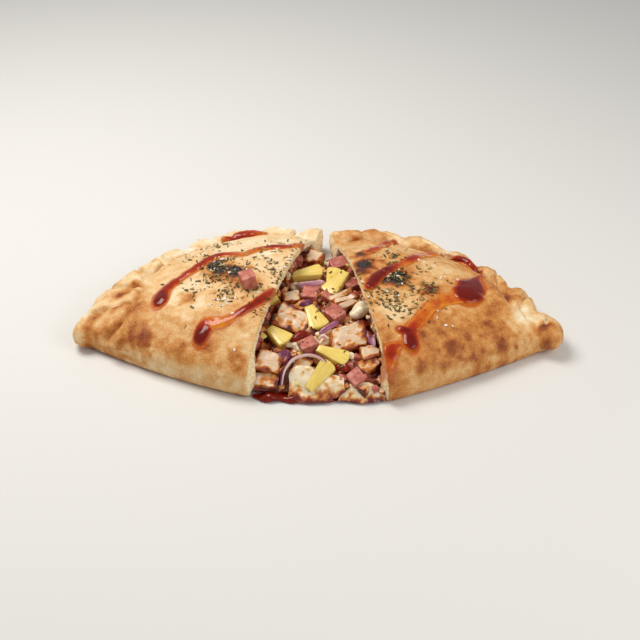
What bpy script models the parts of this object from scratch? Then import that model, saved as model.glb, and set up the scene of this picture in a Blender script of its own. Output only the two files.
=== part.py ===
"""A baked calzone cut across its middle, with the two halves drawn apart at the front.

Frame: metres, +Z up, origin on the board under the middle of the whole food. +X runs to the right-hand
tip and +Y to the crimped rim. Each half is drawn in its own plan frame first: w is the distance from its
cut, s the distance from its folded front edge towards the rim. Sizes below are in millimetres.
"""

import math
from dataclasses import dataclass

import bpy
from mathutils import Quaternion, Vector, noise

MM = 0.001

# One whole calzone: a half ellipse of dough, folded along the front and crimped round the back.
HALF_LENGTH = 100.5  # from the cut to the middle of the rim at the tip
DEPTH = 141.0  # from the fold to the middle of the rim at the back
RIM_RADIUS = 9.0  # of the fat folds along the rim
ROLL_RADIUS = 7.8  # of the plain roll under them
ROLL_STRETCH = 1.5  # the most that a section across the roll is stretched where the rim runs aslant
FOLD_FOOT = 0.35  # how squarely a fold's lower half sits on the board; 1 is round, 0 is square
RIM_LIFT = 0.25  # keeps the rim's round underside just off the board
PEAK_AT = 0.54  # where the dome is highest, as a share of the way from fold to rim
SHOULDER_POWER = 3.5
SHOULDER_ROOT = 2.5
BACK_DROP = 0.70  # how far the dome has come down where it meets the rim
TIP_DROP = 0.62  # how much of its height the dome has lost at the tip
TIP_DROP_POWER = 2.1  # how late on the way to the tip it loses it
BULGE = 12.0  # how strongly the front face swells out, as four times its reach
BULGE_TOP = 24.0
DOME_END = 99.0
FOLD_TAPER = 2.6  # how late along its length a fold of the rim narrows to its ends
FOLD_BLUNTNESS = 0.45  # how bluntly it does; 0.5 is an ellipse

# The dough's thickness.
ROOF = 4.2
FLOOR = 4.0
FOLD_WALL = 6.0
RIM_SEAL = 15.0
CAVITY_END = 84.0
LOWEST_ROOF = 0.8  # the least height that a section keeps above its floor

GAP = 0.3  # clearance between solids that touch
SHARPEST_MITRE = 0.25  # keeps a sharp corner of a section from moving in too far
PAST_CUT = 6.0  # how far helpers reach past the cut, so that it is one clean plane
MOUTH_SLUMP = 14.0  # how far inside the cut the filling has slumped away from the roof
SLUMP = 0.66  # the filling's height at the cut, as a share of the dome's

# The heap of filling that has tumbled out between the halves.
HEAP_CREST = 24.0
HEAP_FOOT = 4.0  # its height at the front edge
HEAP_FRONT_RISE = 16.25  # how far behind its front edge the heap reaches most of its height
HEAP_BACK_DROP = 0.35  # how much of its height it has lost at the back
HEAP_SIDE_DROP = 0.10  # and where it meets the halves
HEAP_BUMP = 2.2
HEAP_BUMP_SIZE = 14.0
HEAP_BELLY = 3.0  # how far its front bulges past the line between the halves
HEAP_BELLY_POWER = 6  # how soon behind the front edge that bulge fades
HEAP_FRONT = -0.5
HEAP_BACK = 137.0
HEAP_SLICES = 14

# The dice of ham on the left half's roof.
HAM_SIDE = 8.2
HAM_PLACE = (14.5, 50.0)
HAM_TURN = 24.0
HAM_CLEARANCE = 0.5
HAM_BEVEL = 0.7

# The block that takes off all the dough past the cut.
BLOCK_REACH = 60.0
BLOCK_ALONG = (-40.0, 190.0)
BLOCK_UP = (-20.0, 80.0)

# How finely the dough is faceted.
STATIONS = 17
ROOF_POINTS = 20
FLOOR_POINTS = 5
HOLLOW_STATIONS = 12
ROLL_POINTS = 5
FOLD_RINGS = 9
FOLD_SIDES = 10


@dataclass(frozen=True)
class Crimp:
    """One pinched fold of the rim: a fat strand lying slantwise over the rim's middle line."""

    at: float  # angle along the rim's sweep in degrees, 0 at the cut and 90 at the tip
    length: float
    radius: float = RIM_RADIUS
    slant: float = 24.0  # degrees off the rim's own direction
    lift: float = 0.0  # how much higher its inner nose lies than its outer end


@dataclass(frozen=True)
class Half:
    """One half of the calzone, with its place on the board."""

    name: str
    hand: int  # -1 for the left half, whose tip points along -X, and 1 for the right one
    corner: tuple  # plan place of the fold at the cut
    turn: float  # degrees by which the cut is turned away from the Y axis
    lean: float  # slope of the folded edge away from the cut's square
    bow: float  # extra sweep of the folded edge at the tip
    fullness: float  # how square the rim's sweep is; 2 is a plain ellipse
    crown: float  # height of the dome at the cut
    crimps: tuple

    def plan(self, w, s):
        """Plan place of a point of this half."""
        turn = math.radians(self.turn)
        along = Vector((self.hand * math.cos(turn), math.sin(turn)))
        inward = Vector((-self.hand * math.sin(turn), math.cos(turn)))
        return Vector(self.corner) + along * w + inward * s

    def fold(self, w):
        """Distance s of the folded front edge at w."""
        return self.lean * w + self.bow * (w / HALF_LENGTH) ** 2

    def rim(self, w):
        """Distance s of the rim's middle line at w."""
        share = min(max(w / HALF_LENGTH, 0.0), 1.0)
        return DEPTH * (1.0 - share**self.fullness) ** (1.0 / self.fullness)

    def rim_place(self, angle):
        """Point (w, s) of the rim's middle line at an angle of its sweep, and its direction there."""
        power = 2.0 / self.fullness
        w = HALF_LENGTH * math.sin(angle) ** power
        s = DEPTH * math.cos(angle) ** power
        slope_w = (w / HALF_LENGTH) ** (self.fullness - 1.0) / HALF_LENGTH
        slope_s = (s / DEPTH) ** (self.fullness - 1.0) / DEPTH
        return Vector((w, s)), Vector((slope_s, -slope_w)).normalized()

    def height(self, w):
        """Height of the dome at w, lower towards the tip."""
        share = min(max(w / HALF_LENGTH, 0.0), 1.0)
        return self.crown * (1.0 - TIP_DROP * share**TIP_DROP_POWER)

    def point(self, w, s, z):
        """Place in metres of a point of this half."""
        x, y = self.plan(w, s)
        return Vector((x, y, z)) * MM


LEFT_CRIMPS = (
    Crimp(at=1.0, length=30.0, slant=8.0),
    Crimp(at=12.0, length=34.0),
    Crimp(at=25.0, length=36.0),
    Crimp(at=37.0, length=32.0),
    Crimp(at=49.0, length=42.0),
    Crimp(at=62.0, length=40.0, lift=3.0),
    Crimp(at=71.0, length=36.0, lift=3.0),
    Crimp(at=80.5, length=34.0, radius=8.8, slant=10.0, lift=1.0),
)
RIGHT_CRIMPS = (
    Crimp(at=3.0, length=36.0, slant=10.0),
    Crimp(at=18.0, length=38.0),
    Crimp(at=32.0, length=36.0),
    Crimp(at=45.0, length=34.0, radius=8.4),
    Crimp(at=56.0, length=34.0, radius=8.4),
    Crimp(at=67.5, length=34.0, radius=8.2),
    Crimp(at=78.0, length=28.0, radius=8.4, slant=10.0, lift=1.0),
)
LEFT = Half("left", -1, (-36.9, -72.56), 15.6, 0.02, 14.0, 2.16, 35.5, LEFT_CRIMPS)
RIGHT = Half("right", 1, (37.4, -76.36), 11.5, 0.16, 9.0, 2.05, 31.0, RIGHT_CRIMPS)


def clear_scene():
    for item in list(bpy.data.objects):
        bpy.data.objects.remove(item, do_unlink=True)


def food_material(name, colour, roughness):
    material = bpy.data.materials.new(name)
    material.use_nodes = True
    shader = material.node_tree.nodes["Principled BSDF"]
    shader.inputs["Base Color"].default_value = (*colour, 1.0)
    shader.inputs["Roughness"].default_value = roughness
    shader.inputs["Metallic"].default_value = 0.0
    return material


def solid(name, points, faces, material=None):
    """A mesh object from points in metres."""
    mesh = bpy.data.meshes.new(name)
    mesh.from_pydata([tuple(p) for p in points], [], faces)
    mesh.update()
    item = bpy.data.objects.new(name, mesh)
    bpy.context.scene.collection.objects.link(item)
    if material is None:
        item.hide_render = True
        item.display_type = "WIRE"
    else:
        mesh.materials.append(material)
    return item


def loft(rings):
    """Points and faces of a closed body through rings of equally many points, with flat ends."""
    count = len(rings[0])
    points = [p for ring in rings for p in ring]
    faces = []
    for r in range(len(rings) - 1):
        for i in range(count):
            a, b = r * count + i, r * count + (i + 1) % count
            faces.append((a, b, b + count, a + count))
    faces.append(tuple(reversed(range(count))))
    last = (len(rings) - 1) * count
    faces.append(tuple(range(last, last + count)))
    return points, faces


def facing_out(points, faces):
    """The same faces, turned over if the body they bound would be inside out."""
    volume = 0.0
    for face in faces:
        a = points[face[0]]
        for i in range(1, len(face) - 1):
            volume += a.dot(points[face[i]].cross(points[face[i + 1]]))
    return faces if volume > 0 else [tuple(reversed(face)) for face in faces]


def dome_height(share):
    """Height of the roof as a share of the crown, from 0 at the fold to the rim at 1."""
    if share < PEAK_AT:
        rest = 1.0 - share / PEAK_AT
        return (1.0 - rest**SHOULDER_POWER) ** (1.0 / SHOULDER_ROOT)
    return 1.0 - BACK_DROP * ((share - PEAK_AT) / (1.0 - PEAK_AT)) ** 2


def dome_section(half, w, walls=(0.0, 0.0, 0.0, 0.0), squash=1.0):
    """Corners (s, z) of one section of the dome, from the fold over the roof and back along the floor.

    walls is the dough left at the front, roof, floor and rim when the section is of the hollow.
    """
    front_wall, roof, floor, seal = walls
    fold, rim = half.fold(w), half.rim(w)
    start = fold + front_wall
    end = max(rim - seal, start + 1.0)
    corners = []
    for i in range(ROOF_POINTS):
        share = 0.5 - 0.5 * math.cos(math.pi * i / (ROOF_POINTS - 1))
        s = start + share * (end - start)
        outer_share = (s - fold) / max(rim - fold, 1.0)
        blend = share + (outer_share - share) * share
        z = max(half.height(w) * squash * dome_height(blend) - roof, floor + LOWEST_ROOF)
        swell = min(z / BULGE_TOP, 1.0)
        corners.append((s - BULGE * swell * (1.0 - swell) * (1.0 - share), z))
    for i in range(FLOOR_POINTS):
        corners.append((end + (start - end) * i / (FLOOR_POINTS - 1), floor))
    return corners


def outer_section(half, w):
    """The outside of the dough at w: the dome's section, with the plain roll of the rim at its back."""
    corners = dome_section(half, w)
    slope = 0.5 * (half.rim(w + 1.0) - half.rim(w - 1.0))
    bulge = ROLL_RADIUS * min(math.hypot(1.0, slope), ROLL_STRETCH)
    roll = []
    for i in range(1, ROLL_POINTS):
        turn = math.pi * i / ROLL_POINTS
        roll.append((half.rim(w) + bulge * math.sin(turn), ROLL_RADIUS * (1.0 + math.cos(turn))))
    return corners[:ROOF_POINTS] + roll + corners[ROOF_POINTS:]


def shrunk(corners, gap):
    """The section with every edge moved inwards by gap, its corners mitred."""
    places = [Vector(corner) for corner in corners]
    moved = []
    for i, place in enumerate(places):
        ahead = (places[(i + 1) % len(places)] - place).normalized()
        behind = (place - places[i - 1]).normalized()
        into = Vector((behind.y + ahead.y, -behind.x - ahead.x))
        mitre = max(1.0 + behind.dot(ahead), SHARPEST_MITRE)
        moved.append(tuple(place + into * (gap / mitre)))
    return moved


def body_ring(half, w, section):
    return [half.point(w, s, z) for s, z in section]


def dome(half):
    """The folded sheet of dough as one body, still without its hollow."""
    rings = []
    for i in range(STATIONS):
        w = -PAST_CUT + (DOME_END + PAST_CUT) * math.sin(0.5 * math.pi * i / (STATIONS - 1))
        rings.append(body_ring(half, w, outer_section(half, w)))
    return loft(rings)


def hollow_section(half, w, gap=0.0):
    """One section of the space inside the dough, drawn in all round by gap."""
    walls = (FOLD_WALL, ROOF, FLOOR, RIM_SEAL)
    mouth = 1.0 - min(max(w / MOUTH_SLUMP, 0.0), 1.0)
    squash = 1.0 - (1.0 - SLUMP) * mouth if gap else 1.0
    return shrunk(dome_section(half, w, walls, squash), gap)


def hollow_stations():
    """Distances from the cut of the hollow's sections, closer together towards its end."""
    count = HOLLOW_STATIONS - 1
    return [CAVITY_END * math.sin(0.5 * math.pi * i / count) for i in range(HOLLOW_STATIONS)]


def hollow(half):
    """The space inside the dough, reaching past the cut."""
    stations = [-PAST_CUT] + hollow_stations()
    return loft([body_ring(half, w, hollow_section(half, w)) for w in stations])


def crimp(half, fold):
    """One fold of the rim: rings round a slanting line, thin at both ends and fat between."""
    centre, tangent = half.rim_place(math.radians(fold.at))
    slant = math.radians(fold.slant) * half.hand
    along = Vector(
        (
            tangent.x * math.cos(slant) + tangent.y * math.sin(slant),
            -tangent.x * math.sin(slant) + tangent.y * math.cos(slant),
        )
    )
    across = Vector((-along.y, along.x))
    rings = []
    for r in range(FOLD_RINGS):
        share = (r + 0.5) / FOLD_RINGS
        place = math.cos(math.pi * share)
        girth = fold.radius * (1.0 - abs(place) ** FOLD_TAPER) ** FOLD_BLUNTNESS
        middle = centre - along * (0.5 * fold.length * place)
        nose = 0.5 - 0.5 * place if half.hand > 0 else 0.5 + 0.5 * place
        z = fold.radius + RIM_LIFT + fold.lift * nose
        ring = []
        for i in range(FOLD_SIDES):
            turn = 2.0 * math.pi * i / FOLD_SIDES
            sideways, upwards = math.cos(turn), math.sin(turn)
            if upwards < -0.01:
                sideways = math.copysign(abs(sideways) ** FOLD_FOOT, sideways)
                upwards = -(abs(upwards) ** FOLD_FOOT)
            w, s = middle + across * (girth * sideways)
            ring.append(half.point(w, s, z + girth * upwards))
        rings.append(ring)
    return loft(rings)


def cut_block(half):
    """A block that takes off all the dough past the cut."""
    near, far = BLOCK_ALONG
    corners = ((0.0, near), (0.0, far), (-BLOCK_REACH, far), (-BLOCK_REACH, near))
    points = [half.point(w, s, z) for z in BLOCK_UP for w, s in corners]
    faces = [(0, 1, 2, 3), (7, 6, 5, 4)]
    faces += [(i, i + 4, (i + 1) % 4 + 4, (i + 1) % 4) for i in range(4)]
    return points, faces


def combine(item, other, operation):
    modifier = item.modifiers.new(f"{operation.lower()} {other.name}", "BOOLEAN")
    modifier.operation = operation
    modifier.object = other
    modifier.solver = "EXACT"
    modifier.use_self = True


def helper(name, shape):
    points, faces = shape
    return solid(name, points, facing_out(points, faces))


def build_crust(half, material):
    """The dough of one half: dome and crimped rim as one body, hollow, open at the cut."""
    points, faces = dome(half)
    crust = solid(f"crust_{half.name}", points, facing_out(points, faces), material)
    for number, fold in enumerate(half.crimps):
        combine(crust, helper(f"crimp_{half.name}_{number}", crimp(half, fold)), "UNION")
    combine(crust, helper(f"hollow_{half.name}", hollow(half)), "DIFFERENCE")
    combine(crust, helper(f"past_cut_{half.name}", cut_block(half)), "DIFFERENCE")
    return crust


def heap_height(u, v):
    """Height of the heap. u runs from the left cut to the right one, v from front to back."""
    front = 1.0 - math.exp(-v * DEPTH / HEAP_FRONT_RISE)
    back = 1.0 - HEAP_BACK_DROP * v**3
    side = 1.0 - HEAP_SIDE_DROP * (2.0 * u - 1.0) ** 2
    return HEAP_FOOT + (HEAP_CREST - HEAP_FOOT) * front * back * side


def heap_ring(u):
    """One section of the heap between the cuts, with a lumpy top, at u from the left cut to the right."""
    ring = []
    for i in range(ROOF_POINTS + FLOOR_POINTS):
        on_top = i < ROOF_POINTS
        if on_top:
            v = 0.5 - 0.5 * math.cos(math.pi * i / (ROOF_POINTS - 1))
        else:
            v = 1.0 - (i - ROOF_POINTS + 0.5) / FLOOR_POINTS
        s = HEAP_FRONT + v * (HEAP_BACK - HEAP_FRONT)
        x, y = LEFT.plan(-GAP, s).lerp(RIGHT.plan(-GAP, s), u)
        y -= HEAP_BELLY * math.sin(math.pi * u) * (1.0 - v) ** HEAP_BELLY_POWER
        lump = noise.noise(Vector((x, y, 3.0)) / HEAP_BUMP_SIZE)
        z = heap_height(u, v) + HEAP_BUMP * lump if on_top else 0.0
        ring.append(Vector((x, y, z)) * MM)
    return ring


def lobe_rings(half):
    """Sections of the filling inside one half, from its cut to the end of the hollow."""
    stations = hollow_stations()
    stations[0], stations[-1] = -GAP, stations[-1] - GAP
    return [body_ring(half, w, hollow_section(half, w, GAP)) for w in stations]


def build_filling(material):
    """One mass of filling: it fills both halves and heaps up between them."""
    rings = list(reversed(lobe_rings(LEFT)))
    rings += [heap_ring(i / HEAP_SLICES) for i in range(HEAP_SLICES + 1)]
    rings += lobe_rings(RIGHT)
    points, faces = loft(rings)
    return solid("filling", points, facing_out(points, faces), material)


def roof_point(half, w, s):
    """Place on the outside of a half's roof."""
    share = (s - half.fold(w)) / (half.rim(w) - half.fold(w))
    return half.point(w, s, half.height(w) * dome_height(share))


def build_ham(material):
    """The one dice of ham that lies on the left half's roof, square to the slope under it."""
    w, s = HAM_PLACE
    middle = roof_point(LEFT, w, s)
    tipward = roof_point(LEFT, w + HAM_SIDE, s) - roof_point(LEFT, w - HAM_SIDE, s)
    rimward = roof_point(LEFT, w, s + HAM_SIDE) - roof_point(LEFT, w, s - HAM_SIDE)
    upward = rimward.cross(tipward).normalized()
    bpy.ops.mesh.primitive_cube_add(size=HAM_SIDE * MM)
    ham = bpy.context.active_object
    ham.name = "ham_dice"
    ham.location = middle + upward * (0.5 * HAM_SIDE + HAM_CLEARANCE) * MM
    tilt = Vector((0.0, 0.0, 1.0)).rotation_difference(upward)
    ham.rotation_euler = (tilt @ Quaternion((0.0, 0.0, 1.0), math.radians(HAM_TURN))).to_euler()
    ham.data.materials.append(material)
    bevel = ham.modifiers.new("soft edges", "BEVEL")
    bevel.width = HAM_BEVEL * MM
    bevel.segments = 2
    return ham


def main():
    clear_scene()
    dough = food_material("baked dough", (0.72, 0.46, 0.22), 0.62)
    stuffing = food_material("chicken, ham and pineapple filling", (0.55, 0.30, 0.16), 0.45)
    cured = food_material("cooked ham", (0.60, 0.24, 0.19), 0.4)
    for half in (LEFT, RIGHT):
        build_crust(half, dough)
    build_filling(stuffing)
    build_ham(cured)


main()
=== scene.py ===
"""Looks of a baked calzone, cut across its middle and drawn apart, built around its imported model.

Every length below is in millimetres unless a name says otherwise; meshes are made in metres. Each half
of the calzone has its own plan frame: w is the distance from its cut, s the distance from its folded
front edge towards the crimped rim.
"""

import logging
import math
import random
from collections.abc import Callable, Iterable, Iterator, Sequence
from contextlib import contextmanager
from dataclasses import dataclass, field
from enum import Enum

import bpy
import numpy as np
from mathutils import Matrix, Quaternion, Vector, noise
from mathutils.bvhtree import BVHTree
from mathutils.kdtree import KDTree


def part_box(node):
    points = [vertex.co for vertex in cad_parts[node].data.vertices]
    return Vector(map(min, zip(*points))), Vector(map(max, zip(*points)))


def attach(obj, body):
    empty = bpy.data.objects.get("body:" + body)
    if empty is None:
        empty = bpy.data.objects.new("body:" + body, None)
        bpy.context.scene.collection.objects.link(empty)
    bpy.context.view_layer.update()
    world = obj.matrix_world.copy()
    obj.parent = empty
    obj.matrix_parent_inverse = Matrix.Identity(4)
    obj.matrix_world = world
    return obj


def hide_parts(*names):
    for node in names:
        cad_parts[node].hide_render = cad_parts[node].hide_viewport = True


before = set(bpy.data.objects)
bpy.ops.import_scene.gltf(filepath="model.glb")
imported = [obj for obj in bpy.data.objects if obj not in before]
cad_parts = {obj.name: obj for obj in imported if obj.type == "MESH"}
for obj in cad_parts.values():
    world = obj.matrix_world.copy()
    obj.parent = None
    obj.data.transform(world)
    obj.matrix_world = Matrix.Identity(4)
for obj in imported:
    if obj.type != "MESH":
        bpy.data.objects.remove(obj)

MM = 0.001
BODY = "root"
UP = Vector((0.0, 0.0, 1.0))

log = logging.getLogger("calzone")

Item = bpy.types.Object
Rings = Sequence[Sequence[Vector]]
Line = Sequence[Sequence[float]]


# --------------------------------------------------------------------------------------------------
# Working with objects


def pick(item: Item) -> None:
    """Selects only this object and makes it active."""
    bpy.ops.object.select_all(action="DESELECT")
    item.select_set(True)
    bpy.context.view_layer.objects.active = item


@contextmanager
def editing(item: Item) -> Iterator[None]:
    """Edit mode on one object, with all of its mesh selected."""
    pick(item)
    bpy.ops.object.mode_set(mode="EDIT")
    bpy.ops.mesh.select_all(action="SELECT")
    yield
    bpy.ops.object.mode_set(mode="OBJECT")


def new_primitive(name: str, add: Callable[..., set], **settings: object) -> Item:
    """Adds one primitive with nothing else selected.

    Args:
        name: the new object's name.
        add: the operator that adds it.
        settings: the operator's settings.

    Returns:
        The new object.
    """
    bpy.ops.object.select_all(action="DESELECT")
    add(**settings)
    item = bpy.context.active_object
    item.name = name
    return item


def apply_modifier(item: Item, kind: str, **settings: object) -> None:
    """Adds a modifier with these settings and applies it."""
    modifier = item.modifiers.new(kind.lower(), kind)
    for key, value in settings.items():
        setattr(modifier, key, value)
    pick(item)
    bpy.ops.object.modifier_apply(modifier=modifier.name)


def join(name: str, items: Sequence[Item]) -> Item:
    """Joins objects into the first of them and renames it."""
    bpy.ops.object.select_all(action="DESELECT")
    for item in items:
        item.select_set(True)
    bpy.context.view_layer.objects.active = items[0]
    if len(items) > 1:
        bpy.ops.object.join()
    items[0].name = name
    return items[0]


def points_of(item: Item) -> np.ndarray:
    """The object's vertices in millimetres, one row each."""
    flat = np.empty(len(item.data.vertices) * 3, np.float32)
    item.data.vertices.foreach_get("co", flat)
    return flat.reshape(-1, 3).astype(float) / MM


def normals_of(item: Item) -> np.ndarray:
    """The object's vertex normals, one row each."""
    flat = np.empty(len(item.data.vertices) * 3, np.float32)
    item.data.vertex_normals.foreach_get("vector", flat)
    return flat.reshape(-1, 3).astype(float)


def move_points(item: Item, points: np.ndarray) -> None:
    """Puts the object's vertices at these places, in millimetres."""
    item.data.vertices.foreach_set("co", (points * MM).astype(np.float32).ravel())
    item.data.update()


def set_layer(item: Item, name: str, values: np.ndarray) -> None:
    """Stores one number a vertex as an attribute for the material to read."""
    layer = item.data.attributes.get(name) or item.data.attributes.new(name, "FLOAT", "POINT")
    layer.data.foreach_set("value", np.asarray(values, np.float32))


def get_layer(item: Item, name: str) -> np.ndarray:
    """Reads back one number a vertex."""
    values = np.empty(len(item.data.vertices), np.float32)
    item.data.attributes[name].data.foreach_get("value", values)
    return values


def set_local(item: Item) -> None:
    """Stores each vertex's present place in millimetres, for patterns that follow the piece."""
    layer = item.data.attributes.new("local", "FLOAT_VECTOR", "POINT")
    layer.data.foreach_set("vector", points_of(item).astype(np.float32).ravel())


def copies(name: str, count: int, add: Callable[..., set], **settings: object) -> Item:
    """One object that holds a row of copies of a primitive, whose vertices follow copy by copy."""
    item = new_primitive(name, add, **settings)
    apply_modifier(item, "ARRAY", count=count, use_relative_offset=True)
    return item


def shade(item: Item, angle: float | None = None) -> None:
    """Shades the object smooth, with edges sharper than an angle in degrees kept sharp."""
    pick(item)
    if angle is None:
        bpy.ops.object.shade_smooth()
    else:
        bpy.ops.object.shade_smooth_by_angle(angle=math.radians(angle))


def finish_piece(item: Item, material: bpy.types.Material, slot: str, *replaced: str) -> Item:
    """Dresses a piece, ties it to the body and reports it.

    Args:
        item: the finished object.
        material: its only material.
        slot: the record's slot that it takes its finish from; not used.
        replaced: the CAD nodes that it stands for.

    Returns:
        The same object.
    """
    item.data.materials.clear()
    item.data.materials.append(material)
    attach(item, BODY)
    if replaced:
        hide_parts(*replaced)
    log.info("%s: %d faces", item.name, len(item.data.polygons))
    return item


def lofted(name: str, rings: Rings) -> Item:
    """A closed body through rings of equally many points, made from a grid rolled shut.

    Args:
        name: the new object's name.
        rings: places in millimetres, ring by ring.

    Returns:
        The object, its ends filled and its faces pointing out.
    """
    around, along = len(rings[0]), len(rings)
    item = new_primitive(
        name, bpy.ops.mesh.primitive_grid_add, x_subdivisions=around, y_subdivisions=along - 1
    )
    places = [ring[i % around] for ring in rings for i in range(around + 1)]
    move_points(item, np.array([tuple(place) for place in places]))
    with editing(item):
        bpy.ops.mesh.remove_doubles(threshold=1e-6)
        bpy.ops.mesh.fill_holes(sides=0)
        bpy.ops.mesh.select_all(action="SELECT")
        bpy.ops.mesh.normals_make_consistent(inside=False)
    return item


def surface_of(item: Item) -> BVHTree:
    """A search tree of the object's faces, in metres."""
    return BVHTree.FromObject(item, bpy.context.evaluated_depsgraph_get())


def drop(tree: BVHTree, x: float, y: float, top: float = 80.0) -> tuple[Vector, Vector] | None:
    """Where a plumb line meets a surface from above.

    Args:
        tree: the surface.
        x: place across, in millimetres.
        y: place from front to back, in millimetres.
        top: height from which the line falls.

    Returns:
        The place in millimetres and the surface's normal, or None past its edge.
    """
    place, normal, _, _ = tree.ray_cast(Vector((x, y, top)) * MM, -UP)
    if place is None:
        return None
    return place / MM, normal


# --------------------------------------------------------------------------------------------------
# Numbers


def grain(points: np.ndarray, size: float, octaves: int = 2, shift: float = 0.0) -> np.ndarray:
    """Smooth noise at each place, from about -1 to 1.

    Args:
        points: places in millimetres.
        size: the width of one lump.
        octaves: how many finer layers are added.
        shift: moves the pattern, so that two calls differ.

    Returns:
        One value a place.
    """
    offset = Vector((shift, -1.7 * shift, 2.3 * shift))
    return np.array(
        [noise.fractal(Vector(p) / size + offset, 1.0, 2.0, octaves) for p in points]
    )


def ramp(value: np.ndarray, low: float, high: float) -> np.ndarray:
    """Smooth step from 0 at low to 1 at high."""
    share = np.clip((value - low) / (high - low), 0.0, 1.0)
    return share * share * (3.0 - 2.0 * share)


def nearest_of(places: Sequence[Sequence[float]]) -> Callable[[Sequence[float]], int]:
    """A function that gives the number of the nearest of some places."""
    tree = KDTree(len(places))
    for number, place in enumerate(places):
        tree.insert(place, number)
    tree.balance()
    return lambda point: tree.find(point)[1]


def curve_through(places: Sequence[Sequence[float]], step: float) -> np.ndarray:
    """Evenly spaced points along a smooth line through the given places.

    Args:
        places: rows of equally many numbers; the first two are the plan place.
        step: the wanted distance between points.

    Returns:
        One row a point, with as many columns as the places have.
    """
    rows = np.array(places, float)
    padded = np.vstack([2 * rows[0] - rows[1], rows, 2 * rows[-1] - rows[-2]])
    dense = []
    for i in range(1, len(padded) - 2):
        a, b, c, d = padded[i - 1 : i + 3]
        for t in np.linspace(0.0, 1.0, 24, endpoint=False):
            dense.append(
                0.5 * (2 * b + (c - a) * t + (2 * a - 5 * b + 4 * c - d) * t**2
                       + (3 * b - a - 3 * c + d) * t**3)
            )
    dense.append(rows[-1])
    line = np.array(dense)
    travelled = np.concatenate([[0.0], np.cumsum(np.linalg.norm(np.diff(line[:, :2], axis=0), axis=1))])
    count = max(int(travelled[-1] / step), 4)
    wanted = np.linspace(0.0, travelled[-1], count)
    return np.column_stack([np.interp(wanted, travelled, line[:, k]) for k in range(line.shape[1])])


# --------------------------------------------------------------------------------------------------
# Materials


def linear(colour: str) -> tuple[float, float, float, float]:
    """Linear values of an sRGB colour such as "#EDCB98"."""
    parts = [int(colour[i : i + 2], 16) / 255.0 for i in (1, 3, 5)]
    return (*(p / 12.92 if p <= 0.04045 else ((p + 0.055) / 1.055) ** 2.4 for p in parts), 1.0)


class Graph:
    """A material's node tree, with its shader, while it is being wired."""

    def __init__(self, name: str, shader: dict[str, object]) -> None:
        """Starts a material whose shader has these constant inputs.

        Args:
            name: the material's name.
            shader: the shader's input names and their values.
        """
        self.material = bpy.data.materials.new(name)
        self.material.use_nodes = True
        self.tree = self.material.node_tree
        self.shader = self.tree.nodes["Principled BSDF"]
        for key, value in shader.items():
            self.shader.inputs[key].default_value = value

    def add(self, kind: str, links: dict[str | int, object] | None = None, **settings: object) -> object:
        """Adds a node with its settings and links.

        Args:
            kind: the node's type without "ShaderNode".
            links: input names or numbers, each with a socket to link or a constant.
            settings: the node's own properties.

        Returns:
            The node.
        """
        node = self.tree.nodes.new(f"ShaderNode{kind}")
        for key, value in settings.items():
            setattr(node, key, value)
        for key, value in (links or {}).items():
            if isinstance(value, bpy.types.NodeSocket):
                self.tree.links.new(value, node.inputs[key])
            else:
                node.inputs[key].default_value = value
        return node

    def to_shader(self, name: str, socket: bpy.types.NodeSocket) -> None:
        """Links a socket to one of the shader's inputs."""
        self.tree.links.new(socket, self.shader.inputs[name])

    def layer(self, name: str) -> bpy.types.NodeSocket:
        """The value of one of the mesh's attributes."""
        return self.add("Attribute", attribute_name=name).outputs["Fac"]

    def noise(self, size: float, detail: float = 3.0) -> bpy.types.NodeSocket:
        """Noise through the object, with lumps of about this size in millimetres."""
        where = self.add("TexCoord").outputs["Object"]
        links = {"Vector": where, "Scale": 1.0 / (size * MM), "Detail": detail}
        return self.add("TexNoise", links).outputs["Fac"]

    def streaks(self, size: float, stretch: tuple[float, float, float]) -> bpy.types.NodeSocket:
        """Noise that follows the piece, its lumps lengthened by a factor along each of its axes."""
        where = self.add("Attribute", attribute_name="local").outputs["Vector"]
        scale = tuple(1.0 / part for part in stretch)
        where = self.add("Mapping", {"Vector": where, "Scale": scale}).outputs["Vector"]
        links = {"Vector": where, "Scale": 1.0 / size, "Detail": 3.0}
        return self.add("TexNoise", links).outputs["Fac"]

    def math(self, operation: str, first: object, second: object = 0.0, third: object = 0.0):
        """One sum of up to three numbers or sockets."""
        links = {0: first, 1: second, 2: third}
        return self.add("Math", links, operation=operation).outputs[0]

    def spread(self, value: object, low: float, high: float, to_low: float = 0.0, to_high: float = 1.0):
        """Maps a range smoothly to another, held at both ends."""
        links = {"Value": value, "From Min": low, "From Max": high, "To Min": to_low, "To Max": to_high}
        return self.add("MapRange", links, interpolation_type="SMOOTHSTEP").outputs["Result"]

    def blend(self, share: object, first: object, second: object, kind: str = "MIX"):
        """Mixes two colours, each a socket or an sRGB text."""
        node = self.add("Mix", {"Factor": share}, data_type="RGBA", blend_type=kind)
        for socket, value in ((node.inputs[6], first), (node.inputs[7], second)):
            if isinstance(value, str):
                socket.default_value = linear(value)
            else:
                self.tree.links.new(value, socket)
        return node.outputs[2]

    def gradient(self, value: object, stops: Sequence[tuple[float, str]]):
        """A colour ramp through stops of (place, sRGB colour)."""
        node = self.add("ValToRGB", {"Fac": value})
        ramp_of = node.color_ramp
        while len(ramp_of.elements) < len(stops):
            ramp_of.elements.new(0.5)
        for element, (place, colour) in zip(ramp_of.elements, stops):
            element.position = place
            element.color = linear(colour)
        return node.outputs["Color"]

    def bump(self, height: object, depth: float, under: object | None = None):
        """Bump of a depth in millimetres, over another bump if given."""
        links = {"Height": height, "Strength": 1.0, "Distance": depth * MM}
        if under is not None:
            links["Normal"] = under
        return self.add("Bump", links).outputs["Normal"]


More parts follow.
